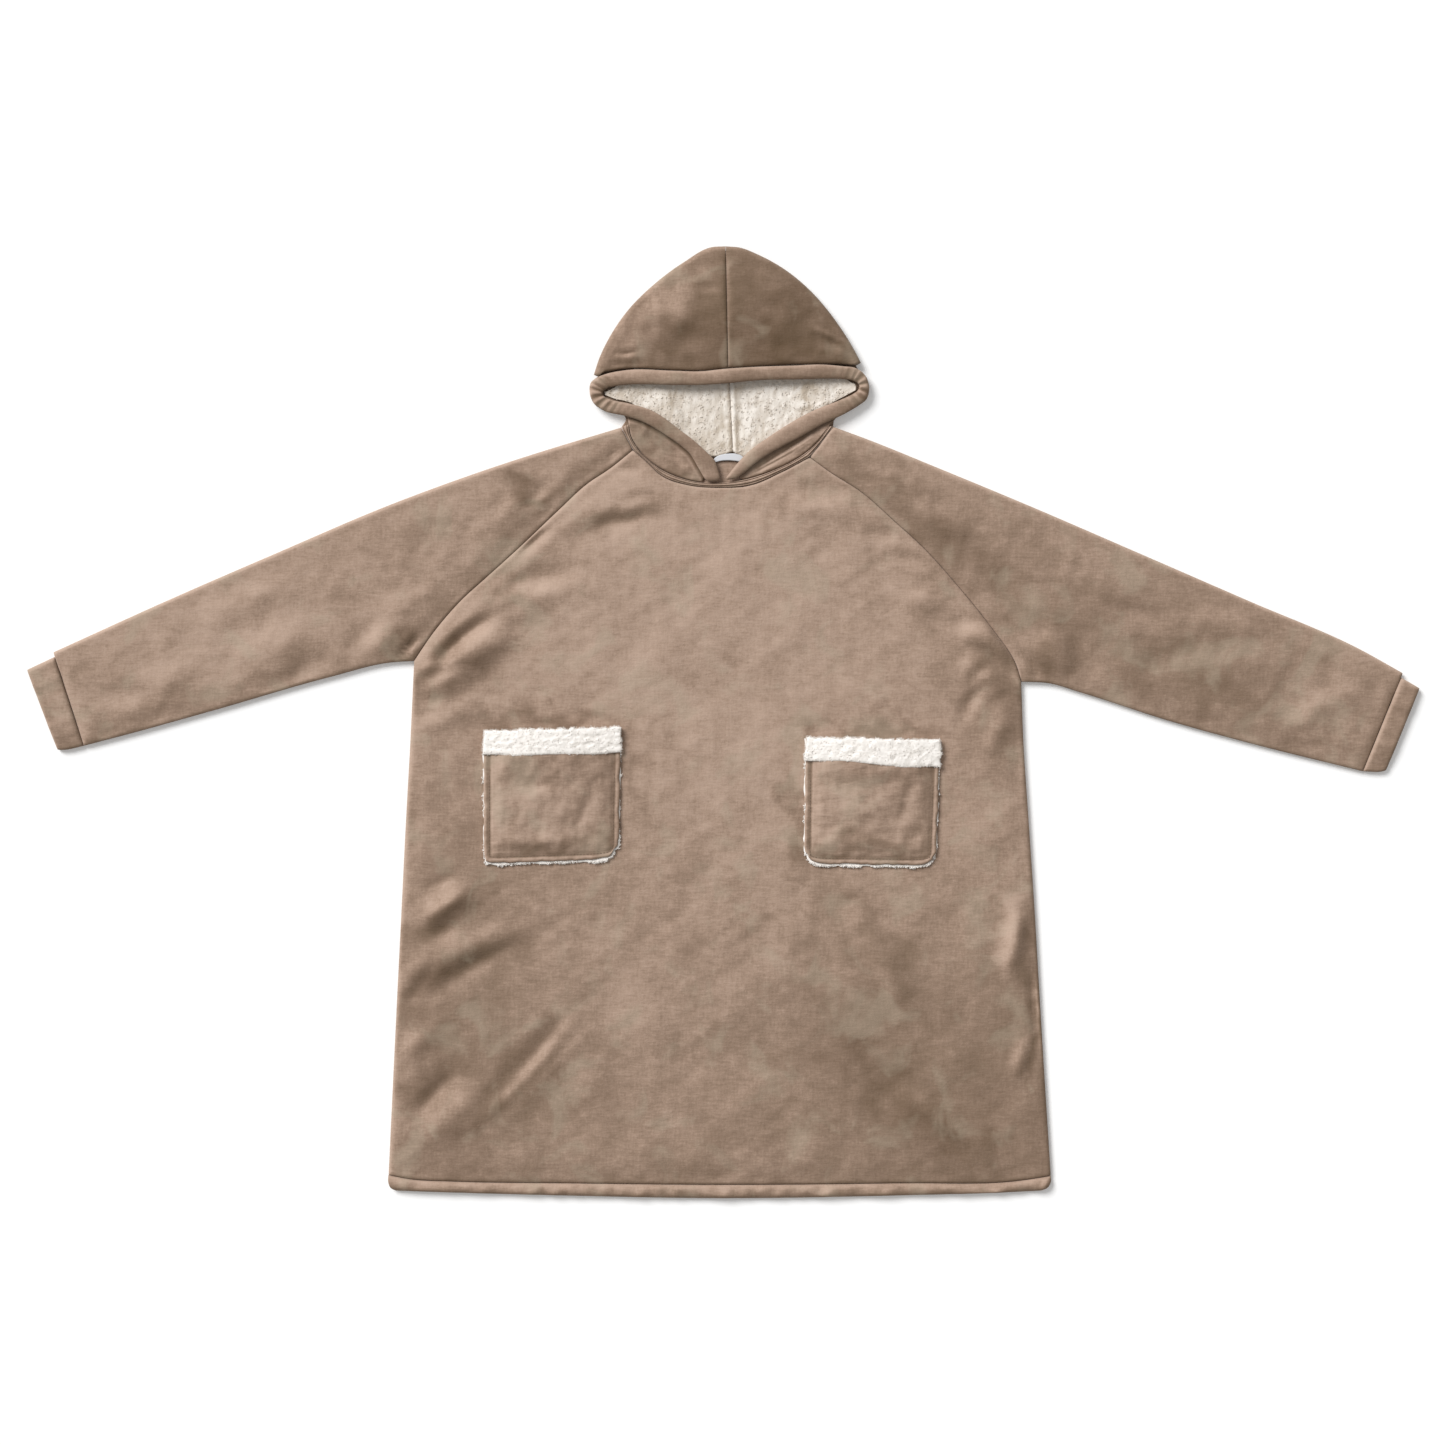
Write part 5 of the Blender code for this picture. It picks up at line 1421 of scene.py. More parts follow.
class Hood:
    """The hood's halves, lining, throat pieces, casing and the tape over its neck seam."""

    def __init__(self, sizes: HoodSizes = HoodSizes()) -> None:
        """Keeps the sizes."""
        self.sizes = sizes

    def neck_line(self, half: HoodHalf) -> np.ndarray:
        """The back neck seam of a half, from the centre to the raglan and up the sleeve's top edge.

        Args:
            half: the half of the hood.

        Returns:
            Points in plan, one a row.
        """
        share = np.linspace(0.5, 0.0 if half.side < 0 else 1.0, 30)
        line = through(NECK_BACK, share) + (0.0, HALF_SEAM)
        top = through(half.sleeve_top, (0.34, 0.67, 1.0)) + (-half.side * 2 * HALF_SEAM, HALF_SEAM)
        return np.concatenate((line, top))

    def half(self, half: HoodHalf) -> bpy.types.Object:
        """Builds one half: the top layer from the casing to the crown, the fold, and the back layer.

        Args:
            half: the half of the hood.

        Returns:
            The object.
        """
        s = self.sizes
        given = self.neck_line(half)
        stations = spaced(HOOD_LENGTH, s.stations, both=False)[0]
        neck = at_lengths(given, stations * length_of(given)[-1])
        fold_line = through(half.crown, stations)
        tangent = through(half.crown, stations + TANGENT_STEP)
        tangent -= through(half.crown, stations - TANGENT_STEP)
        inward = unit(half.side * np.stack((tangent[:, 1], -tangent[:, 0]), axis=1))
        opening = through(half.casing_seam, stations)
        near_centre = (1.0 - eased(stations / 0.06))[:, None]
        inward = unit(inward * (1 - near_centre) + unit(opening[0] - fold_line[0]) * near_centre)
        fold_start = fold_line + inward * HOOD_FOLD
        across = spaced(np.linalg.norm(fold_start - opening, axis=1).clip(20.0), s.columns, both=False)
        front = between(opening, fold_start, across)
        share = np.linspace(0.0, 1.0, s.back_columns)
        back = between(fold_start, neck, share)
        side_shift = through(half.hood_side, share) - back[-1]
        back[:, 1:] += (stations**2)[:, None, None] * side_shift[1:]
        for plan in (front, back):
            plan[0, :, 0] += half.side * HALF_SEAM
        fold_line[0, 0] += half.side * HALF_SEAM
        spread = (1.0 - stations**2)[:, None]
        casing_low = CASING_LOW_CORNER + (CASING_LOW_CENTRE - CASING_LOW_CORNER) * spread
        at_fold = 2 * HOOD_FOLD - WALL
        low = casing_low + (at_fold - casing_low) * across
        low = low + CROWN_PUFF * spread * np.sin(np.pi * across)
        from_opening, from_fold, from_centre, _ = inset(front)
        loose = eased(from_opening / 6.0) * eased(from_fold / 14.0) * eased(from_centre / 8.0)
        height = creased(front, HOOD_CREASES) + 0.5 * waves(front, 61, 110, 40)
        height += 0.25 * waves(front, 62, 36, 18)
        top = low + WALL + loose * height
        low = top - WALL
        top = top - rolled(from_centre, s.seam_roll, s.seam_drop) * eased(from_fold / 10.0)
        top = top - rolled(from_opening, 4.5, s.casing_drop)
        low = thin_enough(low, top)
        back_low = np.zeros(back.shape[:-1])
        back_high = np.full(back.shape[:-1], WALL)
        grids = folded(front, back, fold_line, inward, (low, top), (back_low, back_high))
        piece = Piece(f"hood_{half.name}_cloth", (f"hood_{half.name}",), "fleece_hood")
        made = piece.shell(*grids, FLEECE, HOOD_PATCHES, 65 + half.side)
        half.cuts[0].declare(made)
        return made

    def lining(self, half: HoodHalf) -> tuple:
        """Builds one lining half: its matted ground and the curls that stand up from it.

        Args:
            half: the half of the hood.

        Returns:
            The ground and the curls.
        """
        s, side = self.sizes, half.side
        stations = spaced(LINING_LENGTH, s.lining_rows, both=False)[0]
        share = np.linspace(0.0, 1.0, s.lining_columns)
        upper, lower = half.lining_edges
        plan = between(through(upper, stations), through(lower, stations), share)
        plan[0, :, 0] += side * HALF_SEAM
        _, _, from_centre, _ = inset(plan)
        height = creased(plan, LINING_CREASES) + 0.35 * waves(plan, 71, 60, 16)
        height += 0.28 * waves(plan * (1.0, 0.6), 72, 14, 5, 40)
        top = LAYER_2 + 2.7 + np.clip(height, -1.6, 3.0) * eased(from_centre / 6.0)
        ridge = (1.6 if side > 0 else 0.9) + 0.5 * waves(plan * (0.0, 1.0), 74, 20, 5)
        top = top + ridge * bell(from_centre - 4.5, 2.4) - rolled(from_centre, 2.6, 2.0)
        low = thin_enough(LAYER_2, top)
        piece = Piece(f"lining_{half.name}_ground", (f"hood_lining_{half.name}",), "sherpa")
        grid = with_heights(plan, top)
        ground = piece.shell(grid, with_heights(plan, low), LINING_SHADED_SHERPA, LINING_PATCHES, 73)
        draw = np.random.default_rng(181 + side)
        places, normals = scattered(grid, s.lining_curls, draw)
        places[:, 2] -= 0.8
        pile = Pile(reach=(0.8, 1.5), thick=(0.3, 0.5))
        piece = Piece(f"lining_{half.name}_curls", (), "sherpa")
        curls = piece.tubes(*pile.paths(places, normals, draw), LINING_SHADED_SHERPA)
        half.cuts[1].declare(ground, (curls,))
        return ground, curls

    def lobe(self, half: HoodHalf) -> bpy.types.Object:
        """Builds a throat piece, which sinks towards the casing and is gathered along the tape.

        Args:
            half: the half of the hood.

        Returns:
            The object.
        """
        s = self.sizes
        upper, shares = half.throat
        stations = np.linspace(0.0, 1.0, s.lobe_rows)
        top_line = through(upper, stations)
        low_line = through(TAPE_TOP, shares[0] + (shares[1] - shares[0]) * stations)
        low_line = low_line + 0.6 * unit(top_line - low_line)
        plan = between(top_line, low_line, np.linspace(0.0, 1.0, s.lobe_columns))
        _, from_tape, from_end, from_throat = inset(plan)
        height = creased(plan, LOBE_CREASES) + 0.35 * waves(plan, 81, 50, 14)
        top = LAYER_2 + WALL - 0.2 + height * eased(from_tape / 3.0)
        top = np.clip(top, LAYER_2 + 1.4, 8.5)
        top = top - rolled(from_tape, 4.0, 1.6) - rolled(np.minimum(from_end, from_throat), 3.0, 1.5)
        low = thin_enough(LAYER_2, top)
        # Painted shadow along the casing's edge, where it overhangs the throat piece; on the left also a
        # painted highlight on the lip just beyond it
        beyond = nearest_on(CASING[:, :2], plan.reshape(-1, 2))[0].reshape(plan.shape[:2])
        if half.side < 0:
            shade = 0.35 * bell(beyond - 5.0, 1.8) - 1.3 * bell(beyond, 2.6)
        else:
            shade = -0.7 * bell(beyond, 2.6)
        piece = Piece(f"throat_{half.name}_cloth", (f"hood_front_{half.name}",), "fleece_hood")
        grids = with_heights(plan, top), with_heights(plan, low)
        made = piece.shell(*grids, FLEECE, CASING_PATCHES, 83, shade)
        half.cuts[2].declare(made)
        return made

    def casing(self) -> bpy.types.Object:
        """Builds the casing: a hollow flat tube between two rails, puckered where it turns.

        Its outside and its inside are both closed at their ends, which are tucked in at the throat.

        Returns:
            The object.
        """
        s = self.sizes
        share = np.linspace(0.0, 1.0, s.casing_rows)
        rails = through(CASING, share)
        outer, inner, low, high = rails[:, 0:2], rails[:, 2:4], rails[:, 4], rails[:, 5]
        run = length_of((outer + inner) / 2)
        turn = np.arange(s.casing_sides) * 2 * np.pi / s.casing_sides
        round_x = np.sign(np.cos(turn)) * np.abs(np.cos(turn)) ** 0.75
        round_z = np.sign(np.sin(turn)) * np.abs(np.sin(turn)) ** 0.75
        middle = (outer + inner) / 2
        tips = sum(bell(np.linalg.norm(middle - tip, axis=1), s.tip_reach) for tip in s.tips)
        line = np.stack((run, np.zeros_like(run)), axis=1)
        pucker = np.sin(run * 2 * np.pi / s.pucker_pitch + 1.5 * waves(line, 92, 40, 12))
        wave = 0.3 * waves(line, 91, 60, 16) + s.tip_pucker * tips * pucker
        plan = middle[:, None] + (inner - outer)[:, None] / 2 * round_x[:, None]
        rise = (high - low)[:, None] / 2 * round_z + np.maximum(round_z, 0.0) * wave[:, None]
        heights = (high + low)[:, None] / 2 + rise
        sections = with_heights(plan, heights)
        for end, tucked in zip((0, -1), s.casing_tucks):
            middle_share = sections[end].mean(0) * (1 - s.end_size)
            sections[end] = middle_share + sections[end] * s.end_size + tucked
        centres = sections.mean(axis=1, keepdims=True)
        hollow = centres + (sections - centres) * s.casing_hollow
        rows, sides = heights.shape
        quads = tube_quads(rows, sides)
        quads = np.concatenate((quads, quads[:, ::-1] + rows * sides))
        points = np.concatenate((sections.reshape(-1, 3), hollow.reshape(-1, 3)))
        # Painted light and shade on the puckers near the casing's tips: lighter where a pucker rises, darker
        # where it dips
        shade = np.broadcast_to(0.5 * (tips * pucker)[:, None], (2, rows, sides)).ravel()
        piece = Piece("casing_cloth", ("hood_rim",), "fleece_hood")
        made = piece.make(points, quads, FLEECE, CASING_PATCHES, 93, shade)
        Cut(0.80, 0.042, 0.030, ("hood_left_cloth", "hood_right_cloth")).declare(made)
        return made

    def tape(self) -> tuple:
        """Builds the tape over the neck seam, with a groove along each of its two rows of stitches.

        Returns:
            The tape and its stitches.
        """
        s = self.sizes
        share = np.linspace(0.0, 1.0, s.tape_stations)
        given = np.concatenate((
            through(NECK_SLEEVE_LEFT, (1.0, 0.5)), through(NECK_FRONT, np.linspace(0, 1, 40)),
            through(NECK_SLEEVE_RIGHT, (0.5, 1.0)),
        ))
        lower = at_lengths(given, share * length_of(given)[-1])
        upper = through(TAPE_TOP, share)
        towards = unit(upper - lower)
        across = np.linspace(0.0, 1.0, 17)
        plan = between(lower + towards * 2 * HALF_SEAM, upper - towards * 2 * HALF_SEAM, across)
        from_low, from_high, from_left, from_right = inset(plan)
        line = length_of(lower)[:, None, None] * (1.0, 0.0)
        groove = bell(across - 0.25, 0.075) + bell(across - 0.75, 0.075)
        top = TAPE_HIGH + 0.3 * waves(line, 97, 40, 9) - s.tape_groove * groove
        top = top - rolled(np.minimum(from_low, from_high), 2.4, 2.6)
        top = top - rolled(np.minimum(from_left, from_right), 2.0, 1.5)
        low = thin_enough(LAYER_2, top)
        piece = Piece("neck_tape_cloth", ("neck_band",), "fleece")
        grid = with_heights(plan, top)
        patches = (Patch(0, 330, 200, 60, 0, -0.1),)
        # Painted shade in the tape's two stitched grooves
        made = piece.shell(grid, with_heights(plan, low), FLEECE, patches, 99, s.groove_painted_shade * groove)
        lines = [Stitch().paths(grid[:, column]) for column in (4, 12)]
        paths, radii = (np.concatenate(parts) for parts in zip(*lines))
        stitches = Piece("neck_tape_stitches", (), "fleece").tubes(paths, radii, THREAD)
        Cut(0.36, 0.011, 0.0035, ("front_cloth",)).declare(made, (stitches,))
        return made, stitches

    def label(self) -> bpy.types.Object:
        """Builds the bare neck label: a small thin crescent.

        Returns:
            The object.
        """
        share = np.linspace(0.0, 1.0, 24)
        upper = through(((-13, 327), (-8, 332.2), (6, 336.2), (22, 334.8), (29, 329.5)), share)
        lower = through(((-13, 324), (-4, 327), (6, 328), (18, 327), (29, 325)), share)
        plan = between(upper, lower, np.linspace(0.0, 1.0, 8))
        top = 7.0 + 0.7 * np.sin(np.linspace(0.0, np.pi, 24))[:, None]
        low = top - THINNEST
        piece = Piece("label_cloth", ("neck_label",), "label")
        made = piece.shell(with_heights(plan, top), with_heights(plan, low), SATIN)
        Cut(0.044, 0.010, 0.0003, ("lining_left_ground", "lining_right_ground")).declare(made)
        return made


def scattered(grid: np.ndarray, count: int, draw: np.random.Generator) -> tuple:
    """Random places on a grid of points, even by area.

    Args:
        grid: rows, columns and three coordinates.
        count: how many places.
        draw: the random numbers.

    Returns:
        Places and upward normals, one a row.
    """
    a, b = grid[1:, 1:] - grid[:-1, :-1], grid[1:, :-1] - grid[:-1, 1:]
    normal = np.cross(a, b)
    area = np.linalg.norm(normal, axis=2)
    cells = draw.choice(area.size, count, p=area.ravel() / area.sum())
    i, j = np.unravel_index(cells, area.shape)
    u, v = draw.random((2, count, 1))
    left = grid[i, j] * (1 - u) + grid[i + 1, j] * u
    right = grid[i, j + 1] * (1 - u) + grid[i + 1, j + 1] * u
    places = left * (1 - v) + right * v
    normals = normal[i, j] / area[i, j][:, None]
    return places, normals * np.sign(normals[:, 2:3] + 1e-9)


@dataclass(frozen=True)
class Pile:
    """Sizes of the sherpa's curls: how far one reaches, how thick it is and how far round it goes."""

    reach: tuple = (1.2, 2.3)
    thick: tuple = (0.55, 0.85)
    sweep: tuple = (200.0, 330.0)
    rings: int = 7

    def paths(self, places: np.ndarray, normals: np.ndarray, draw: np.random.Generator) -> tuple:
        """The centre lines of the curls: short turns of a spiral, each tilted its own way.

        Args:
            places: where each curl is rooted.
            normals: which way each stands up.
            draw: the random numbers.

        Returns:
            Paths and radii for Piece.tubes.
        """
        n = len(places)
        first = unit(np.cross(normals, draw.normal(size=(n, 3))))
        second = np.cross(normals, first)
        tilt = draw.uniform(0.0, 1.3, (n, 1))
        raised = normals * np.sin(tilt) + second * np.cos(tilt)
        reach = draw.uniform(*self.reach, (n, 1))
        sweep = np.radians(draw.uniform(*self.sweep, (n, 1)))
        angle = draw.uniform(0, 2 * np.pi, (n, 1)) + sweep * np.linspace(0, 1, self.rings)
        lead = np.cross(first, raised)
        paths = places[:, None] + normals[:, None] * (reach * 0.45)[..., None]
        paths = paths + (reach * np.cos(angle))[..., None] * first[:, None]
        paths = paths + (reach * np.sin(angle))[..., None] * raised[:, None]
        paths = paths + (np.linspace(-0.8, 0.8, self.rings) * reach)[..., None] * lead[:, None]
        ends = np.sin(np.linspace(0.18, 0.82, self.rings) * np.pi) ** 0.7
        return paths, draw.uniform(*self.thick, (n, 1)) * ends


@dataclass(frozen=True)
class Fringe:
    """Sizes of the fine fibres that stand out along an edge of sherpa."""

    reach: tuple = (1.6, 4.0)
    thick: float = 0.36
    spread: float = 0.55
    lean: float = 0.7
    rings: int = 3

    def paths(self, places: np.ndarray, away: tuple, draw: np.random.Generator) -> tuple:
        """The centre lines of tapering fibres that lean away from the edge and droop a little.

        Args:
            places: where each fibre is rooted.
            away: the direction in plan that they lean to.
            draw: the random numbers.

        Returns:
            Paths and radii for Piece.tubes.
        """
        n = len(places)
        turn = math.atan2(away[1], away[0]) + draw.normal(0.0, self.spread, n)
        lean = draw.uniform(0.0, self.lean, n)
        flat = np.cos(lean)
        direction = np.stack((np.cos(turn) * flat, np.sin(turn) * flat, np.sin(lean)), axis=1)
        steps = np.linspace(0.0, 1.0, self.rings)
        along = draw.uniform(*self.reach, (n, 1)) * steps
        paths = places[:, None] + along[..., None] * direction[:, None]
        paths[..., 2] -= 0.35 * along * steps
        return paths, np.broadcast_to(self.thick * (1.0 - 0.72 * steps), (n, self.rings))


@dataclass(frozen=True)
class Stitch:
    """Sizes of a row of stitches."""

    pitch: float = 4.2
    length: float = 3.1
    radius: float = 0.42
    lift: float = 0.25
    rings: int = 4

    def paths(self, line: np.ndarray) -> tuple:
        """The centre lines of stitches along a line of points, their ends dipping into the cloth.

        Args:
            line: points in millimetres, one a row.

        Returns:
            Paths and radii for Piece.tubes.
        """
        starts = np.arange(1.0, length_of(line)[-1] - self.length, self.pitch)
        along = starts[:, None] + np.linspace(0.0, self.length, self.rings)
        paths = at_lengths(line, along)
        bow = np.sin(np.linspace(0.12, 0.88, self.rings) * np.pi)
        paths[..., 2] += self.lift + 0.35 * (bow - 1.0)
        return paths, np.full(along.shape, self.radius) * (0.55 + 0.45 * bow)


@dataclass(frozen=True)
class PocketSizes:
    """Counts and small sizes of a pocket."""

    columns: int = 52
    rows: int = 50
    backing_wall: float = 2.6
    wall: float = 2.4
    pouch: float = 5.6
    level_edge: float = 8.0
    fill_rate: float = 1.2
    puff: float = 1.6
    groove: float = 1.4
    groove_half: float = 1.7
    # painted shade in the stitched groove
    groove_painted_shade: float = -0.8
    raw_side: float = 0.7
    raw_low: float = 3.0
    trim_rows: int = 22
    trim_columns: int = 104
    trim_wall: float = 3.2
    trim_proud: float = 2.0
    trim_curls: int = 520
    side_curls: int = 90
    low_curls: int = 260
    top_fibres: int = 420
    end_fibres: int = 60


class PatchPocket:
    """A patch pocket: sherpa backing, fleece square, turned-out sherpa top, stitches and fluff."""

    def __init__(self, pocket: Pocket, sizes: PocketSizes = PocketSizes()) -> None:
        """Keeps the pocket and the sizes."""
        self.pocket = pocket
        self.sizes = sizes

    def pouch(self, plan: np.ndarray) -> np.ndarray:
        """How far the pocket stands off the front: nothing along its sewn edges, most at its mouth.

        Args:
            plan: points in plan, two columns last.

        Returns:
            Heights in millimetres.
        """
        p, s = self.pocket, self.sizes
        up = (plan[..., 1] - p.low_left[1]) / (p.top_left[1] - p.low_left[1])
        left = p.low_left[0] + (p.top_left[0] - p.low_left[0]) * up + s.level_edge
        right = p.low_right[0] + (p.top_right[0] - p.low_right[0]) * up - s.level_edge
        across = np.clip((plan[..., 0] - left) / (right - left), 0.0, 1.0)
        return s.pouch * eased(up * s.fill_rate) * np.sin(np.pi * across)

    def plan(self, side: float, low: float, columns: int, rows: int, seed: int,
             ragged: float) -> np.ndarray:
        """Plan points of the pocket's square.

        Args:
            side: how far the side edges are moved out.
            low: how far the lower edge is moved out.
            columns: even columns between the finer ones at both sides.
            rows: even rows between the finer ones at both ends.
            seed: picks how the edges fray.
            ragged: how much they fray.

        Returns:
            A grid, rows from the bottom up.
        """
        p = self.pocket
        low_left, low_right = np.add(p.low_left, (-side, -low)), np.add(p.low_right, (side, -low))
        top_left, top_right = np.add(p.top_left, (-side, 0.0)), np.add(p.top_right, (side, 0.0))
        up, across = spaced(POCKET_HEIGHT, rows)[0], spaced(POCKET_WIDTH, columns)[0]
        plan = four_cornered((low_left, low_right), (top_left, top_right), across, up)
        centred = 2 * across - 1.0
        corner = np.where(centred < 0, p.round_left, p.round_right) * np.abs(centred) ** 9
        plan[..., 1] += corner * (1.0 - eased(up[:, None] * 8.0))
        corner = np.where(centred < 0, p.round_left, -p.round_right) * np.abs(centred) ** 9
        plan[..., 0] += 0.6 * corner * (1.0 - eased(up[:, None] * 9.0))
        rim = bell(nearest_edge(plan, (0, 1, 2)), 3.0)[..., None]
        shift = np.stack((waves(plan, seed, 40, 9), waves(plan, seed + 1, 40, 9)), axis=-1)
        return plan + ragged * rim * shift

    def build(self) -> tuple:
        """Builds the pocket.

        Returns:
            Its backing, square, fluff and stitches, then what its trim is made of.
        """
        p, s = self.pocket, self.sizes
        seed = 120 if p.name == "left" else 150
        plan = self.plan(s.raw_side, s.raw_low, 30, 28, seed, 0.9)
        edge = nearest_edge(plan, (0, 1, 2))
        low = BACKING_BASE + self.pouch(plan)
        top = low + s.backing_wall - rolled(edge, 1.6, 0.9)
        backing_grid = with_heights(plan, top)
        piece = Piece(f"pocket_{p.name}_sherpa_side", (f"pocket_backing_{p.name}",), "sherpa")
        backing = piece.shell(backing_grid, with_heights(plan, low), TRIM)
        plan = self.plan(0.0, 0.0, s.columns, s.rows, seed + 5, 0.6)
        edge, from_mouth = nearest_edge(plan, (0, 1, 2)), inset(plan)[3]
        low = BACKING_BASE + s.backing_wall + 0.3 + self.pouch(plan)
        inside = eased((edge - 8.0) / 16.0) * eased(from_mouth / 20.0)
        height = s.puff + 0.6 * waves(plan, seed + 7, 90, 24) + creased(plan, self.creases())
        top = low + s.wall + inside * height
        top = top + 0.2 * waves(plan, seed + 8, 20, 9)
        groove = bell(edge - EDGE_STEPS[-1], s.groove_half)
        top = top - s.groove * groove - rolled(edge, 2.6, 1.3)
        low = thin_enough(low, top)
        grid = with_heights(plan, top)
        piece = Piece(f"pocket_{p.name}_cloth", (f"pocket_{p.name}",), "fleece")
        # Painted shade along the stitched groove
        shade = s.groove_painted_shade * groove
        square = piece.shell(grid, with_heights(plan, low), FLEECE, POCKET_PATCHES, seed + 9, shade)
        draw = np.random.default_rng(seed)
        fluff = self.fluff(backing_grid, draw)
        k = len(EDGE_STEPS) - 1
        line = np.concatenate((grid[-k - 16 : k - 1 : -1, k], grid[k, k:-k], grid[k : -k - 16, -k - 1]))
        stitches = Piece(f"pocket_{p.name}_stitches", (), "fleece").tubes(*Stitch().paths(line), THREAD)
        Cut(0.176, 0.174, 0.0290, ("front_cloth",)).declare(backing, (fluff,))
        Cut(0.174, 0.172, 0.0270, (backing.name,)).declare(square, (stitches,))
        return (backing, square, fluff, stitches, *self.trim(seed, draw))

    def creases(self) -> tuple:
        """The pocket's own creases, set from its middle.

        Returns:
            The creases.
        """
        x = (self.pocket.low_left[0] + self.pocket.low_right[0]) / 2
        y = self.pocket.low_left[1]
        return (
            Crease(x - 60, y + 100, x - 10, y + 92, x + 50, y + 104, 9, -1.0),
            Crease(x - 60, y + 24, x - 20, y + 34, x + 30, y + 22, 8, 0.9),
            Crease(x + 30, y + 30, x + 44, y + 70, x + 56, y + 110, 7, -0.8),
            Crease(x - 40, y + 60, x, y + 70, x + 20, y + 56, 10, 0.7),
        )

    def trim(self, seed: int, draw: np.random.Generator) -> tuple:
        """Builds the turned-out top: a band over the mouth, with curls on it and fibres round its edge.

        Args:
            seed: picks how the edges wander and the surface waves.
            draw: the random numbers.

        Returns:
            The band, its curls and its fibres.
        """
        p, s = self.pocket, self.sizes
        low = (p.top_left[0] - 1.0, p.trim_left), (p.top_right[0] + 0.5, p.trim_right)
        up, across = spaced(TRIM_HEIGHT, s.trim_rows)[0], spaced(POCKET_WIDTH, s.trim_columns)[0]
        plan = four_cornered(low, (p.top_left, p.top_right), across, up)
        plan[..., 1] += s.trim_proud * up[:, None]
        for axis, edges, reach, most, step, longest, shortest in TRIM_WANDER:
            wander = waves(plan, seed + step, longest, shortest)
            plan[..., axis] += most * bell(nearest_edge(plan, edges), reach) * wander
        edge = nearest_edge(plan, (0, 1, 2, 3))
        base = BACKING_BASE + s.backing_wall + s.wall + 0.8 + self.pouch(plan)
        lumps = 0.4 * waves(plan, seed + 13, 22, 7) + 0.22 * waves(plan, seed + 14, 7, 3.5, 40)
        top = base + s.trim_wall + lumps - rolled(edge, 5.0, 2.2)
        grid = with_heights(plan, top)
        piece = Piece(f"pocket_{p.name}_trim_ground", (f"pocket_trim_{p.name}",), "sherpa")
        band = piece.shell(grid, with_heights(plan, thin_enough(base, top)), TRIM)
        places, normals = scattered(grid, s.trim_curls, draw)
        places[:, 2] -= 0.5
        pile = Pile(reach=(0.6, 1.1), thick=(0.26, 0.42))
        piece = Piece(f"pocket_{p.name}_trim_curls", (), "sherpa")
        curls = piece.tubes(*pile.paths(places, normals, draw), TRIM)
        edges = ((grid[-3], (0.0, 1.0), s.top_fibres), (grid[:, 2], (-1.0, 0.0), s.end_fibres),
                 (grid[:, -3], (1.0, 0.0), s.end_fibres))
        fibres = []
        for line, away, count in edges:
            places = at_lengths(line, draw.uniform(0.0, length_of(line)[-1], count))
            places[:, 2] -= draw.uniform(0.3, 2.2, count)
            fibres.append(Fringe().paths(places, away, draw))
        paths, radii = (np.concatenate(parts) for parts in zip(*fibres))
        fringe = Piece(f"pocket_{p.name}_trim_fibres", (), "sherpa").tubes(paths, radii, TRIM)
        Cut(0.174, 0.037, 0.0055, (f"pocket_{p.name}_cloth",)).declare(band, (curls, fringe))
        return band, curls, fringe

    def fluff(self, grid: np.ndarray, draw: np.random.Generator) -> bpy.types.Object:
        """Builds the fluff that pokes out: sparse tufts along the raw sides, a thin line at the bottom.

        Args:
            grid: the top of the backing.
            draw: the random numbers.

        Returns:
            The object.
        """
        s = self.sizes
        found = []
        edges = ((grid[:-4, :3], s.side_curls, 0.3), (grid[:-4, -3:], s.side_curls, 0.1),
                 (np.swapaxes(grid[:3], 0, 1), s.low_curls, -0.7))
        for side, count, least in edges:
            places, normals = scattered(np.ascontiguousarray(side), count, draw)
            keep = waves(places[:, :2], 171, 46, 12) + draw.normal(0, 0.25, len(places)) > least
            found.append((places[keep], normals[keep]))
        places, normals = (np.concatenate(parts) for parts in zip(*found))
        places[:, 2] -= 0.3
        pile = Pile(reach=(0.8, 1.5), thick=(0.35, 0.6))
        piece = Piece(f"pocket_{self.pocket.name}_fluff", (), "sherpa")
        return piece.tubes(*pile.paths(places, normals, draw), TRIM)


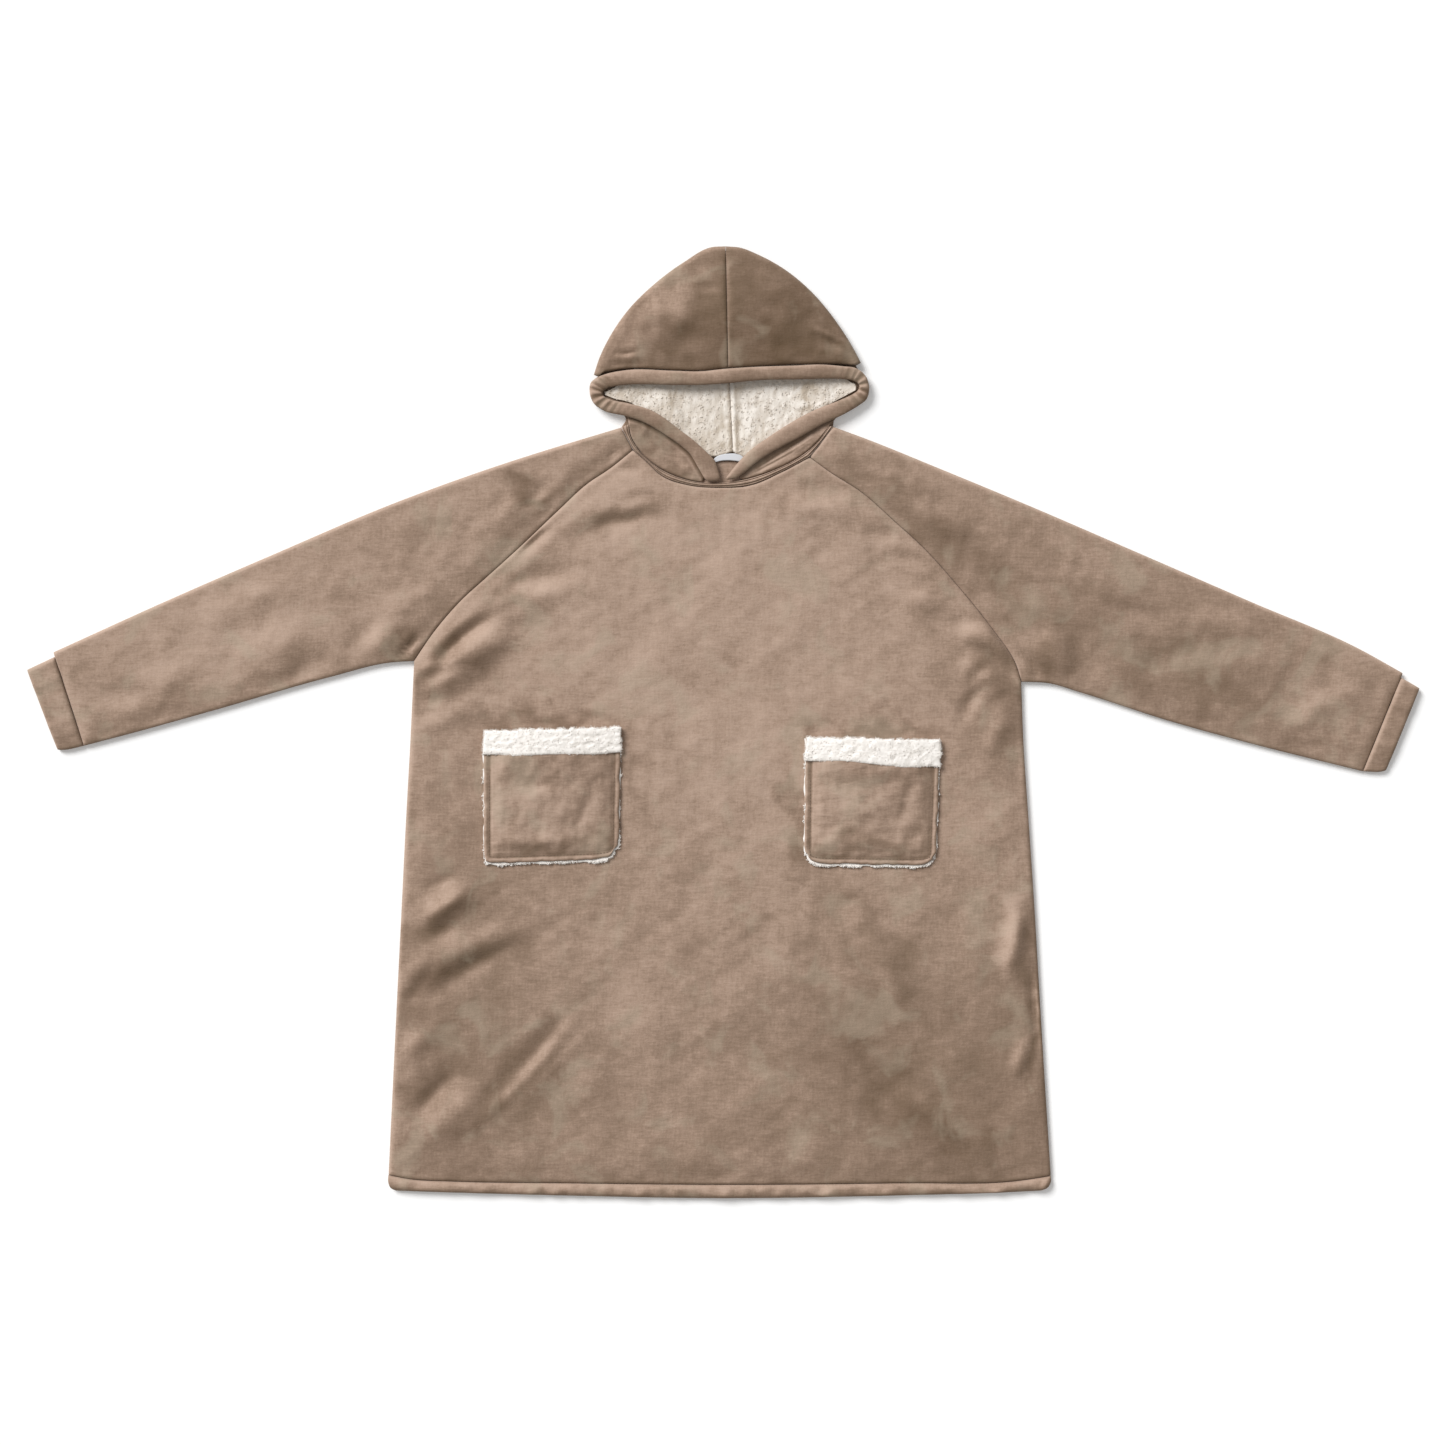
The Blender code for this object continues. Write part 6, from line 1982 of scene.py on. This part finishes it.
@dataclass(frozen=True)
class Studio:
    """The floor, the lights and the camera, which looks straight down as in the photo."""

    frame_width: float = 1806.25
    lens: float = 85.0
    sensor: float = 36.0
    sun: float = 2.95
    sun_size: float = 30.0
    sun_from: tuple = (-0.62, 0.62, 0.78)
    ambient: float = 0.40
    floor_size: float = 8.0

    def build(self) -> None:
        """Builds the floor, a broad sun, an even sky and the camera."""
        scene = bpy.context.scene
        scene.view_settings.view_transform = "Standard"
        half = self.floor_size / 2
        mesh = bpy.data.meshes.new("floor")
        corners = [(x * half, y * half, FLOOR_HEIGHT) for x, y in ((-1, -1), (1, -1), (1, 1), (-1, 1))]
        mesh.from_pydata(corners, [], [(0, 1, 2, 3)])
        mesh.materials.append(Plain("paper_floor", (0.93, 0.93, 0.93), 0.9, 0.12).material())
        floor = bpy.data.objects.new("floor", mesh)
        scene.collection.objects.link(floor)
        light = bpy.data.lights.new("soft_sun", "SUN")
        light.energy = self.sun
        light.angle = math.radians(self.sun_size)
        sun = bpy.data.objects.new("soft_sun", light)
        x, y, z = self.sun_from
        sun.rotation_euler = (math.atan2(math.hypot(x, y), z), 0.0, math.atan2(x, -y))
        scene.collection.objects.link(sun)
        world = bpy.data.worlds.new("even_sky")
        world.use_nodes = True
        world.node_tree.nodes["Background"].inputs["Color"].default_value = (1.0, 0.995, 0.985, 1.0)
        world.node_tree.nodes["Background"].inputs["Strength"].default_value = self.ambient
        scene.world = world
        camera = bpy.data.cameras.new("camera")
        camera.lens = self.lens
        camera.sensor_width = self.sensor
        holder = bpy.data.objects.new("camera", camera)
        holder.location = (0.0, 0.0, self.frame_width * METRE * self.lens / self.sensor + 0.010)
        scene.collection.objects.link(holder)
        scene.camera = holder


def main() -> None:
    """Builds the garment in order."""
    logging.basicConfig(level=logging.INFO, format="%(message)s")
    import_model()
    Studio().build()
    made = [*Body().build(), HemCasing().build()]
    for arm in ARMS:
        made += Sleeve(arm).build()
    hood = Hood()
    for half in HOOD_HALVES:
        made += [hood.half(half), *hood.lining(half), hood.lobe(half)]
    made += [hood.casing(), *hood.tape(), hood.label()]
    for pocket in POCKETS:
        made += PatchPocket(pocket).build()
    LOG.info("%d pieces", len(made))


if __name__ == "__main__":
    main()
